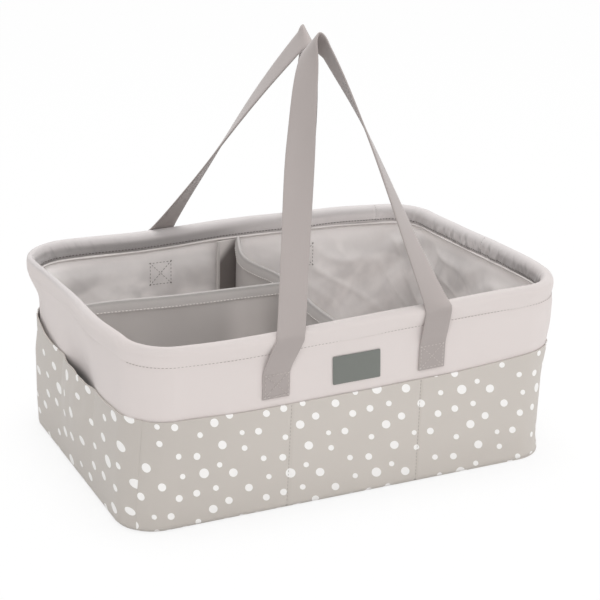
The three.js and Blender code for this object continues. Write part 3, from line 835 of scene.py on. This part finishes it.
def webbingPaint(name, colour):
    # close ribs along the tape with a fine diagonal twill, and painted shade that makes it a little darker
    # towards the top
    paint, u, v = clothPaint(name)
    rib, twill = paint.ribs(v, 1.3 * mm), paint.ribs(u + v * 0.6, 0.9 * mm)
    cloud, fibre = paint.noise(40 * mm, 3), paint.noise(1 * mm)
    tone = paint.mix(cloud * 0.6 + fibre * 0.4, shade(colour, 0.93), shade(colour, 1.07))
    tone = paint.mix(rib * 0.05 + twill * 0.03, tone, shade(colour, 0.7))
    # painted shade, darker towards the top
    tone = paint.mix(paint.between(paint.axis(2), 0.2, 0.3) * 0.5, tone, shade(colour, 0.86))
    normal = paint.bump(rib * 0.6 + twill * 0.2 + fibre * 0.3, 0.018 * mm)
    return paint.cloth(tone, fibre * 0.1 + 0.66, normal, 0.3, 0.35)


def handleLeg(spec, sign, apex):
    # middle line and lie of one leg, from its tab over the rim up to the bend; Y outwards
    at = 0 if sign < 0 else 1
    xAtTab = handle["tabs"][at]
    atRim, twist, delay, topTwist, bow, aside = spec["legs"][at]
    standOff = body["seat"] + handle["thickness"] / 2
    rimZ = body["height"] - rim["roll"]
    face = float(halfSizes(rimZ)[1])
    middle = face + (rim["bulge"] - rim["inside"]) / 2
    clear = standOff + 0.4 * mm
    reach, rise = (rim["bulge"] + rim["inside"]) / 2 + clear, rim["roll"] + clear
    leave = math.atan((face - apex[1]) / (apex[2] - rimZ) * rise / reach)
    tabHeights = (handle["tabBottom"], handle["tabMiddle"], handle["hinge"])
    places = [(float(halfSizes(z)[1]) + standOff, z) for z in tabHeights]
    places.append((face + rim["bulge"] + 0.5 * mm, (handle["hinge"] + rimZ) / 2))
    places += [(middle + reach * math.cos(a), rimZ + rise * math.sin(a)) for a in (0, leave / 2, leave)]
    drawn = smooth(np.array([z for _, z in places]), handle["hinge"], body["height"])
    low = [[xAtTab + (atRim - xAtTab) * share, y, z] for share, (y, z) in zip(drawn, places)]
    low = smoothPath(low, handle["legSteps"])
    bendStart = apex + (low[-1] - apex) * spec["bend"] / np.linalg.norm(low[-1] - apex) + [aside, 0, 0]
    shares = np.linspace(0, 1, handle["legSteps"] + 1)[1:, None]
    free = low[-1] + (bendStart - low[-1]) * shares
    free[:, :1] += bow * np.sin(shares ** handle["bowPeak"] * math.pi)
    along = np.vstack([np.zeros((len(low), 1)), shares])
    angle = np.radians(twist * along ** delay + topTwist * smooth(along, 0.7, 1))
    lies = np.array([-sign, 0, 0]) * np.cos(angle) + np.array(handle["twistedLie"]) * np.sin(angle)
    return np.vstack([low, free]), lies


def handleLine(spec):
    # the whole handle, from the left tab over the top to the right tab
    flip = np.array([1, spec["side"], 1])
    apex = np.array(spec["apex"]) * flip
    (left, leftLie), (right, rightLie) = (handleLeg(spec, sign, apex) for sign in (-1, 1))
    s = np.linspace(0, 1, 14)[1:-1, None]

    def bend(start, middle, end):
        return start * (1 - s) ** 2 + 2 * np.array(middle) * s * (1 - s) + end * s * s

    line = np.vstack([left, bend(left[-1], apex, right[-1]), right[::-1]])
    lies = np.vstack([leftLie, bend(leftLie[-1], spec["lie"], rightLie[-1]), rightLie[::-1]])
    return line * flip, lies / np.linalg.norm(lies, axis=1, keepdims=True) * flip


def ribbonLoop(width, thickness):
    # flat tape section with rounded selvedges
    half, r = width / 2, thickness / 2
    turn = np.linspace(-math.pi / 2, math.pi / 2, 5)
    right = np.stack([half - r + r * np.cos(turn), r * np.sin(turn)], 1)
    flat = np.linspace(half - r, r - half, 8)[1:-1]
    top = np.stack([flat, np.full(len(flat), r)], 1)
    return np.vstack([right, top, -right, -top])


def ribbon(name, line, lies, width, thickness):
    face = np.cross(tangents(line), lies)
    slant = np.linalg.norm(face, axis=1, keepdims=True)
    face, lies = face / slant, lies / slant
    loop = ribbonLoop(width, thickness)
    grid = line[None] + lies[None] * loop[:, 0, None, None] + face[None] * loop[:, 1, None, None]
    length = walked(line)
    return loftLoops(name, settle(grid), clothUv(np.append(length, length[-1]), loop[:, :1]), False, 70)


def makeHandles():
    for name in ("front", "rear"):
        spec = handle[name]
        line, lies = handleLine(spec)
        strap = ribbon(f"{name}_handle_webbing", line, lies, handle["width"], handle["thickness"])
        dress(strap, "webbing", "webbing", None,
              f"{name}_handle_strap", f"{name}_left_tab", f"{name}_right_tab")
        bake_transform(strap)


# Divider insert

divider = {
    "top": 142 * mm, "core": 2.5 * mm, "cover": 0.6 * mm, "binding": 0.6 * mm, "bindingDepth": 11 * mm,
    "pressed": 1.7 * mm, "end": -12.6 * mm, "steps": 110, "lift": 6.5 * mm, "liftReach": 20 * mm,
    "bow": 0.5 * mm,
    # in millimetres: the panels' lines in plan, their joint, and where the front, back and left ends are
    "cross": [(4, -116), (1.5, -60), (6.5, 16), (6.5, 42), (0, 70), (-3, 92), (1, 116)],
    "long": [(-176, 33), (-100, 23), (-41, 19)], "joint": (6.5, 16), "ends": (4, 5, 33),
    # painted sheen and painted shade as bands: rising and falling between which X, how strong, the tone
    "sheen": (((-62 * mm, -36 * mm), (-4 * mm, -26 * mm), 0.9, 1.4),
              ((-140 * mm, -112 * mm), (-42 * mm, -66 * mm), 0.3, 0.77)),
}
coverHalf = divider["core"] / 2 + body["seat"] + divider["cover"]
bindHalf = coverHalf + body["seat"] + divider["binding"]


def dividerPaint(name, colour):
    # smooth satin with a painted sheen beside the joint, painted light towards the top and painted shade
    # further along the long panel
    paint, u, v = clothPaint(name)
    across = paint.axis(0)
    tone, cloud, normal = paint.satin(u, colour, 0.07, 60 * mm)
    for rising, falling, share, factor in divider["sheen"]:
        band = paint.between(across, *rising) * paint.between(across, *falling)
        tone = paint.mix(band * share, tone, shade(colour, factor))
    # painted light towards the top
    tone = paint.mix(paint.betweenMm(v, 98, 128) * 0.36, tone, shade(colour, 1.2))
    return paint.cloth(tone, cloud * 0.16 + 0.34, normal, 0.15, 0.5)


def bindingPaint(name, colour):
    # fine lengthwise ribs, and painted shade that makes the pressed top edge a little darker
    paint, _, v = clothPaint(name)
    fibre, rib = paint.noise(fuzz), paint.ribs(v, 1.1 * mm)
    edge = paint.between(v, divider["top"] - 4 * mm, divider["top"] - 1 * mm)
    tone = paint.mix(rib * 0.1 + fibre * 0.2, colour, shade(colour, 0.85))
    # painted shade on the top edge
    tone = paint.mix(edge * 0.8, tone, shade(colour, 0.7))
    return paint.cloth(tone, fibre * 0.1 + 0.55, paint.bump(rib + fibre * 0.5, 0.04 * mm), 0.2, 0.3)


def dividerPaths():
    halfLength, halfWidth, _ = halfSizes(0)
    endX, endY = float(halfLength) + divider["end"], float(halfWidth) + divider["end"]
    front, back, left = (v * mm for v in divider["ends"])
    jointX, jointY = (v * mm for v in divider["joint"])
    cross, long = ([(x * mm, y * mm) for x, y in divider[name]] for name in ("cross", "long"))
    cross = [(front, -endY), *cross, (back, endY)]
    long = [(-endX, left), *long, (jointX - bindHalf - 0.6 * mm, jointY)]
    return {"cross": smoothPath(cross, divider["steps"]), "long": smoothPath(long, divider["steps"])}


def panelPoint(path, across, z):
    # a place on a divider: its path on the floor, widening upwards as the walls do
    halfLength, halfWidth, _ = halfSizes(z)
    floorLength, floorWidth, _ = halfSizes(0)
    wide = (halfLength + divider["end"]) / (floorLength + divider["end"])
    deep = (halfWidth + divider["end"]) / (floorWidth + divider["end"])
    along = tangents(path)
    return np.stack([path[None, :, 0] * wide + along[None, :, 1] * across,
                     path[None, :, 1] * deep - along[None, :, 0] * across,
                     np.broadcast_to(z, np.broadcast_shapes(z.shape, (1, len(path))))], -1)


def dividerRise(name, path):
    # the cross divider's top rides up where it is tucked under the back rim
    if name == "long":
        return np.zeros(len(path))
    return divider["lift"] * smooth(path[:, 1], path[-1, 1] - divider["liftReach"], path[-1, 1])


def panelSection():
    # up one face and down the other, narrower inside the binding
    top = divider["top"] - divider["binding"] - body["seat"]
    heights = np.linspace(body["floorTop"] + body["seat"], top - 1 * mm, 30)
    halves = coverHalf - (coverHalf - 0.9 * mm) * smooth(heights, top - 6 * mm, top)
    return np.vstack([np.stack([halves, heights], 1), np.stack([-halves, heights], 1)[::-1]])


def bindingSection():
    # tape folded over the top edge and pressed together there
    low, pressed = divider["top"] - divider["bindingDepth"], divider["pressed"]
    turn = np.linspace(0, math.pi, 9)
    fold = np.stack([pressed * np.cos(turn), divider["top"] - pressed + pressed * np.sin(turn)], 1)
    outer = np.vstack([[[bindHalf, low], [bindHalf, low + 5 * mm]], fold,
                       [[-bindHalf, low + 5 * mm], [-bindHalf, low]]])
    inner = outer[::-1] * [(coverHalf + 0.1 * mm) / bindHalf, 1]
    inner[:, 1] = np.minimum(inner[:, 1], divider["top"] - divider["binding"])
    return np.vstack([outer, inner])


def panelLoft(name, path, loop, rise, bow):
    across, z = loop[:, :1], loop[:, 1:]
    lifted = z + rise[None, :] * smoothMm(z, 60, 130)
    wave = bow * ripples(np.arange(len(path))[None, :] * 2.6 * mm, z, 80 * mm, 51)
    wave = wave * smoothMm(z, 8, 40) * (1 - smoothMm(z, 120, 136))
    grid = settle(panelPoint(path, across + wave, lifted), slump["insertLean"])
    length = walked(path)
    return loftLoops(name, grid, clothUv(np.append(length, length[-1]), z), False, 60)


def makeInsert():
    for name, path in dividerPaths().items():
        rise = dividerRise(name, path)
        panel = panelLoft(f"{name}_divider_panel", path, panelSection(), rise, divider["bow"])
        dress(panel, "divider", "lining", "divider_insert", f"{name}_divider_cover", f"{name}_divider_core")
        tape = panelLoft(f"{name}_divider_bound_edge", path, bindingSection(), rise, 0.0)
        dress(tape, "binding", "binding", "divider_insert", f"{name}_divider_binding")


# Wall padding and the hook-and-loop fasteners behind the end tapes

fastenerTape = 1.5 * mm


def makeFastener(wallName, half, outside, bodyName):
    # one half of a fastener, lying on the wall as its solid does
    node = f"{wallName}_{half}_tape"
    low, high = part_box(node)
    centre, size = (low + high) / 2, high - low
    middles = {"front": centre.x, "back": perimeter / 2 - centre.x, "left": sideWalk["left"] - centre.y}
    walks = middles[wallName] + np.linspace(-0.5, 0.5, 20) * (size.y if wallName == "left" else size.x)
    levels = np.linspace(low.z, high.z, 40)
    strip = wallSheet(f"{wallName}_{half}_strip", walks, levels, outside, fastenerTape)
    dress(strip, "fastener", "fastener", bodyName, node)


def makePadding():
    for side in ("front", "back", "left", "right"):
        low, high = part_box(f"{side}_wall_foam")
        start, end = panelEnds(side)
        walks = np.linspace(start, end, int((end - start) / (3 * mm)))
        pad = wallSheet(f"{side}_wall_padding", walks, np.linspace(low.z, high.z, 20),
                        -body["wallFabric"] - body["seat"], body["foam"])
        dress(pad, "foam", "foam", "caddy_body", f"{side}_wall_foam")


def makeFasteners():
    loopFace = liningFace - body["seat"]
    for wallName in ("front", "back", "left"):
        makeFastener(wallName, "loop", loopFace, "caddy_body")
        makeFastener(wallName, "hook", loopFace - fastenerTape - body["seat"] - 0.1 * mm, "divider_insert")


# Tapes that close the insert at the walls: a bound free edge, a band on top painted lighter (painted light),
# and a face painted dark (painted shade)
endTape = {
    "width": 25 * mm, "thickness": 1 * mm, "offset": -11.4 * mm, "top": 146 * mm, "curl": 1.5 * mm,
    "bead": 1.3 * mm, "reach": 9.75 * mm, "columns": 36, "rows": 60,
}


def endTapePaint(name, edge, face):
    # u runs from the divider to the free edge, v is the height
    paint, u, v = clothPaint(name)
    fibre, cloud = paint.noise(fuzz), paint.noise(20 * mm)
    bound = paint.between(u, 8.6 * mm, 9.4 * mm, "LINEAR")
    # painted shade: the face is a dark colour, darkest towards the divider
    deep = paint.between(u, 9 * mm, -8 * mm, "LINEAR")
    tone = paint.mix(deep * 0.6 + cloud * 0.4, shade(face, 1.25), shade(face, 0.7))
    # painted light on the band at the top
    tone = paint.mix(paint.betweenMm(v + u, 133, 145) * 0.95, tone, shade(edge, 1.2))
    tone = paint.mix(bound, tone, edge)
    tone = paint.mix(fibre * 0.15, tone, shade(face, 0.8))
    return paint.cloth(tone, fibre * 0.1 + 0.6, paint.bump(fibre, threadDepth), 0.2, 0.3)


def endTapeWalks():
    # the walk of the middle of each tape
    front, back, left = (v * mm for v in divider["ends"])
    return {"front": front - endTape["reach"], "back": perimeter / 2 - back + endTape["reach"],
            "left": sideWalk["left"] - left - endTape["reach"]}


def makeEndTapes():
    levels = np.linspace(body["floorTop"] + body["seat"], endTape["top"], endTape["rows"])
    for wallName, middle in endTapeWalks().items():
        free = 1 if wallName == "back" else -1    # which way the free edge lies
        walks = middle + np.linspace(-0.5, 0.5, endTape["columns"]) * endTape["width"]

        def shape(walk, z, middle=middle, free=free):
            # the free edge curls off the wall and ends in a rounded bead
            across = free * (walk - middle) / endTape["width"] + 0.5
            bead = endTape["bead"] * bump(across, 0.95, 0.05)
            return -endTape["curl"] * smooth(across, 0.45, 1.0) - bead + 0 * z

        tape = wallSheet(f"{wallName}_end_binding", walks, levels, endTape["offset"], endTape["thickness"],
                         shape=shape)
        for corner in tape.data.uv_layers["cloth"].data:
            corner.uv[0] = free * (corner.uv[0] - middle)
        dress(tape, "endTape", "binding", "divider_insert", f"{wallName}_end_tape")


# Label

label = {
    "width": 44 * mm, "height": 26.2 * mm, "middle": (-1.2 * mm, 118.8 * mm), "tilt": -0.06,
    "corner": 0.8 * mm, "thickness": 0.8 * mm, "gap": 0.1 * mm, "columns": 40, "rows": 26,
}


def labelPaint(name, colour):
    paint, u, v = clothPaint(name)
    tone, weave, fibre = paint.woven(u, v, colour, 0.9 * mm, 0.06)
    return paint.cloth(tone, fibre * 0.1 + 0.55, paint.bump(weave + fibre * 0.5, threadDepth), 0.1, 0.4)


def makeLabel():
    # a small woven patch, thinner at its turned edges
    halfWide, halfTall = label["width"] / 2, label["height"] / 2
    u = np.linspace(-1, 1, label["columns"]) * halfWide
    v = np.linspace(-1, 1, label["rows"]) * halfTall
    v = np.concatenate([v, v[::-1]])[:, None]
    edgeX, edgeZ = halfWide - np.abs(u), halfTall - np.abs(v)
    puff = label["thickness"] * (0.55 + 0.45 * smoothMm(np.minimum(edgeX, edgeZ), 0.3, 2))
    puff[label["rows"]:] = 0
    near = np.clip(1 - edgeX / label["corner"], 0, 1) * np.clip(1 - edgeZ / label["corner"], 0, 1)
    inset = label["corner"] * (1 - math.sqrt(0.5))
    x, height = u * (1 - inset / halfWide * near), v * (1 - inset / halfTall * near)
    middleX, middleZ = label["middle"]
    out = body["seat"] + label["gap"] + puff
    grid = settle(wallPoint(middleX + x + label["tilt"] * height, out, middleZ + height))
    patch = loftLoops("label_patch", grid, clothUv(np.append(u, u[-1]), v), False, 40)
    dress(patch, "label", "label", "caddy_body", "label")


# Stitches

stitch = {
    "pitch": 3.2 * mm, "length": 2.2 * mm, "thickness": 0.6 * mm,
    "threads": {"paleThread": (206, 199, 194), "greyThread": (165, 157, 152), "hemThread": (178, 169, 165),
                "lightThread": (232, 227, 223), "darkThread": (128, 121, 117), "facingThread": (96, 90, 87)},
}
# The boxes sewn on the lining: how far to the right of its tab each one is, and the rear left one
boxInside = {"height": 21 * mm, "middle": 122.5 * mm, "shift": 7 * mm, "rearLeftShift": 2 * mm}


def threadPaint(name, colour):
    paint = Paint(name)
    strand = paint.noise(0.8 * mm)
    tone = paint.mix(strand, shade(colour, 0.85), shade(colour, 1.1))
    return paint.cloth(tone, strand * 0.2 + 0.5, paint.bump(strand, 0.05 * mm), 0.2, 0.3)


def stitchTree():
    # a stitch every pitch along the given lines
    tree = bpy.data.node_groups.new("stitchRow", "GeometryNodeTree")
    sockets = {"Geometry": "Geometry", "Pitch": "Float", "Length": "Float", "Thickness": "Float",
               "Thread": "Material"}
    for name, kind in sockets.items():
        tree.interface.new_socket(name, in_out="INPUT", socket_type=f"NodeSocket{kind}")
    tree.interface.new_socket("Geometry", in_out="OUTPUT", socket_type="NodeSocketGeometry")
    net = Nodes(tree)
    lines = net.node("NodeGroupInput")
    curve = net.node("GeometryNodeMeshToCurve", inputs={0: lines})
    points = net.node("GeometryNodeCurveToPoints", {"mode": "LENGTH"},
                      {"Curve": curve, "Length": lines.other("Pitch")})
    bead = net.node("GeometryNodeMeshUVSphere", inputs={"Segments": 6, "Rings": 5, "Radius": 0.5})
    thick = lines.other("Thickness")
    size = net.node("ShaderNodeCombineXYZ", inputs={0: thick, 1: thick, 2: lines.other("Length")})
    shaped = net.node("GeometryNodeTransform", inputs={"Geometry": bead, "Scale": size})
    rows = net.node("GeometryNodeInstanceOnPoints",
                    inputs={"Points": points, "Rotation": points.other("Rotation"), "Instance": shaped})
    real = net.node("GeometryNodeRealizeInstances", inputs={0: rows})
    dyed = net.node("GeometryNodeSetMaterial", inputs={"Geometry": real, "Material": lines.other("Thread")})
    net.node("NodeGroupOutput", inputs={0: dyed})
    return tree


stitchNodes = stitchTree()


def sew(name, lines, thread, bodyName, pitch=1.0, thick=1.0):
    vertices, edges = [], []
    for line in lines:
        start = len(vertices)
        vertices += [tuple(p) for p in line]
        edges += [(start + i, start + i + 1) for i in range(len(line) - 1)]
    mesh = bpy.data.meshes.new(name)
    mesh.from_pydata(vertices, edges, [])
    lineObject = addObject(name + "_line", mesh)
    modifier = lineObject.modifiers.new("stitches", "NODES")
    modifier.node_group = stitchNodes
    values = {"Pitch": stitch["pitch"] * pitch, "Length": stitch["length"] * pitch,
              "Thickness": stitch["thickness"] * thick, "Thread": paints[thread]}
    for item in stitchNodes.interface.items_tree:
        if item.in_out == "INPUT" and item.name in values:
            modifier[item.identifier] = values[item.name]
    graph = bpy.context.evaluated_depsgraph_get()
    sewn = bpy.data.meshes.new_from_object(lineObject.evaluated_get(graph))
    bpy.data.objects.remove(lineObject)
    sewn.polygons.foreach_set("use_smooth", [True] * len(sewn.polygons))
    piece = addObject(name, sewn)
    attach(piece, bodyName)


def onWall(walks, offset, z):
    return settle(wallPoint(walks, offset, z))


def boxAndCross(x, z, height, place):
    # the sewn box with its cross, as lines through place(x, z)
    width = handle["width"] - 4 * mm
    corners = np.array([(x - width / 2, z - height / 2), (x + width / 2, z - height / 2),
                        (x + width / 2, z + height / 2), (x - width / 2, z + height / 2)])
    pairs = [(0, 1), (1, 2), (2, 3), (3, 0), (0, 2), (1, 3)]
    shares = np.linspace(0, 1, 12)[:, None]
    return [place(corners[a] * (1 - shares) + corners[b] * shares) for a, b in pairs]


def sewRim():
    hem = np.linspace(cornerWalk["frontLeft"] - perimeter - 15 * mm, cornerWalk["backLeft"], 600)
    hemLine = onWall(hem, rim["hemOut"] + 0.25 * mm, hemZ + 1 * mm)
    sew("hem_stitching", [hemLine], "hemThread", "caddy_body")
    loop = np.linspace(0, perimeter, 700)
    sewnIn, height = np.full(700, -rim["hemIn"] - 1.1 * mm), np.full(700, facingZ + 2.4 * mm)
    facingLine = rimSurface(loop, sewnIn, height)
    sew("facing_stitching", [facingLine], "facingThread", "caddy_body", thick=1.4)
    over = rimSection()[24:43]
    seams = [rimSurface(np.full(len(over), sideWalk[side] + gap), over[:, 0] - 0.1 * mm, over[:, 1])
             for side, gap in rim["seams"]]
    sew("rim_seams", seams, "darkThread", "caddy_body", 0.7, 0.8)


def sewPockets():
    z = np.linspace(7 * mm, pocket["mouth"] - 2 * mm, 60)
    outside = body["seat"] + pocket["thickness"] + 0.1 * mm
    seams = []
    for x in pocket["seams"]:
        for side in ("front", "back"):
            walk = np.full(60, sideWalk[side] + x)
            seams.append(onWall(walk, outside + sleeveShape(side)(walk, z), z))
    sew("pocket_seams", seams, "greyThread", "caddy_body", thick=0.8)


def sewTabs():
    tabHeight = handle["hinge"] - handle["tabBottom"]
    tabs, backs = [], []
    for middle, way in sewnBoxes():

        def onTab(p, middle=middle):
            return onWall(middle + p[:, 0], body["seat"] + handle["thickness"] + 0.1 * mm, p[:, 1])

        def onLining(p, middle=middle):
            walk = middle + p[:, 0]
            return onWall(walk, liningFace - 0.2 * mm + liningFold(walk, p[:, 1]), p[:, 1])

        tabs += boxAndCross(0, handle["tabBottom"] + tabHeight / 2, tabHeight - 4 * mm, onTab)
        shift = boxInside["rearLeftShift" if middle > perimeter / 2 else "shift"]
        backs += boxAndCross(way * shift, boxInside["middle"], boxInside["height"], onLining)
    sew("tab_stitching", tabs, "paleThread", "caddy_body", thick=0.9)
    sew("tab_stitching_inside", backs, "darkThread", "caddy_body", thick=0.9)


def sewBindings():
    edges = []
    for name, path in dividerPaths().items():
        z = divider["top"] - divider["bindingDepth"] + 1.2 * mm + dividerRise(name, path)[None, :]
        for sign in (-1, 1):
            edge = panelPoint(path, np.full((1, 1), sign * (bindHalf + 0.05 * mm)), z)
            edges.append(settle(edge, slump["insertLean"])[0])
    sew("binding_stitching", edges, "lightThread", "divider_insert", thick=1.7)


# Floor, light and camera

studio = {
    "camera": (-0.6158, -1.3886, 0.6766), "azimuth": -0.4239, "elevation": 0.3454, "lens": 107.0,
    "floorSize": 12.0, "floorDrop": 0.5 * mm, "floorLift": (0.8, 0.97), "contact": ((0.2, 0.14), 0.08),
    "aim": Vector((0, 0, 0.12)), "glow": 0.55, "floorGrey": (0.9, 0.9, 0.9, 1), "white": (1, 1, 1, 1),
}
lamps = {
    "key": {"place": (-0.6, -1.6, 1.7), "size": 1.4, "power": 11},
    "fill": {"place": (1.5, -0.8, 1.1), "size": 1.6, "power": 5},
    "top": {"place": (0.1, 0.3, 2.0), "size": 1.8, "power": 26},
}


def makeStage():
    half, low = studio["floorSize"] / 2, -studio["floorDrop"]
    mesh = bpy.data.meshes.new("studio_floor")
    corners = [(-half, -half, low), (half, -half, low), (half, half, low), (-half, half, low)]
    mesh.from_pydata(corners, [], [(0, 1, 2, 3)])
    paint = Paint("studioFloor")
    rays = paint.node("ShaderNodeLightPath", out="Is Camera Ray")
    seen = rays.largest(rays.other("Is Glossy Ray")).largest(rays.other("Is Transmission Ray"))
    (halfLength, halfWidth), fade = studio["contact"]
    outside = (abs(paint.axis(0)) - halfLength).largest(abs(paint.axis(1)) - halfWidth)
    least, most = studio["floorLift"]
    lift = paint.between(outside, 0.0, fade) * (most - least) + least
    matt = paint.node("ShaderNodeBsdfDiffuse", inputs={"Color": studio["floorGrey"]})
    white = paint.node("ShaderNodeEmission", inputs={"Color": studio["white"], "Strength": 1.0})
    both = paint.node("ShaderNodeMixShader", inputs={0: seen * lift, 1: matt, 2: white})
    paint.node("ShaderNodeOutputMaterial", inputs={"Surface": both})
    mesh.materials.append(paint.material)
    addObject("studio_floor", mesh)


def makeWorld():
    world = bpy.data.worlds.new("studio")
    bpy.context.scene.world = world
    world.use_nodes = True
    net = Nodes(world.node_tree)
    rays = net.node("ShaderNodeLightPath", out="Is Camera Ray")
    glow, white = (net.node("ShaderNodeBackground", inputs={"Color": studio["white"], "Strength": strength})
                   for strength in (studio["glow"], 1.0))
    both = net.node("ShaderNodeMixShader", inputs={0: rays, 1: glow, 2: white})
    net.node("ShaderNodeOutputWorld", inputs={"Surface": both})


def makeLamps():
    for name, spec in lamps.items():
        data = bpy.data.lights.new(name, "AREA")
        data.shape, data.size, data.energy = "DISK", spec["size"], spec["power"]
        lamp = addObject(name, data)
        lamp.location = spec["place"]
        lamp.rotation_euler = (studio["aim"] - lamp.location).to_track_quat("-Z", "Y").to_euler()


def makeCamera():
    data = bpy.data.cameras.new("camera")
    data.sensor_width, data.lens = 36, studio["lens"]
    camera = addObject("camera", data)
    camera.location = studio["camera"]
    camera.rotation_euler = (math.pi / 2 - studio["elevation"], 0, studio["azimuth"])
    bpy.context.scene.camera = camera
    bpy.context.scene.view_settings.view_transform = "Standard"


def foamPaint(name, colour, cell):
    paint = Paint(name)
    cells = paint.node("ShaderNodeTexVoronoi", inputs={"Vector": paint.place, "Scale": 1 / cell})
    tone = paint.mix(cells, shade(colour, 1.05), shade(colour, 0.85))
    return paint.cloth(tone, cells * 0.1 + 0.85, paint.bump(cells, 0.3 * mm), 0.0, 0.2)


paints = {
    "wall": wallPaint("paleWallCloth", linear(228, 219, 216)),
    "rim": rimPaint("rimCloth", linear(228, 219, 216), linear(243, 237, 236)),
    "dots": dottedPaint("dottedPocketCloth"),
    "webbing": webbingPaint("handleWebbing", linear(173, 164, 161)),
    "lining": liningPaint("satinLining", shade(linear(231, 226, 224), 1.12)),
    "divider": dividerPaint("dividerSatin", linear(195, 190, 187)),
    "binding": bindingPaint("bindingTape", linear(200, 195, 192)),
    "piping": pipingPaint("rimPiping", linear(222, 216, 213)),
    "label": labelPaint("labelCloth", linear(122, 125, 120)),
    **{name: threadPaint(name, linear(*colour)) for name, colour in stitch["threads"].items()},
    # the end tape's dark face colour is painted shade
    "endTape": endTapePaint("endTapeCloth", linear(210, 204, 201), linear(117, 110, 107)),
    "fastener": foamPaint("hookAndLoop", linear(216, 212, 207), 0.6 * mm),
    "foam": foamPaint("paddingFoam", linear(240, 239, 233), 1.5 * mm),
    "board": foamPaint("baseBoard", linear(143, 141, 136), 2.5 * mm),
}

makeCamera()
makeStage()
makeWorld()
makeLamps()
print("studio ready")
makeWalls()
makeFloor()
makeRim()
makePiping()
print("padded body ready")
makePockets()
makeLabel()
print("pockets and label ready")
makeHandles()
makeInsert()
makePadding()
makeBoard()
makeFasteners()
makeEndTapes()
print("handles and insert ready")
sewRim()
sewPockets()
sewTabs()
sewBindings()
print("stitching ready")
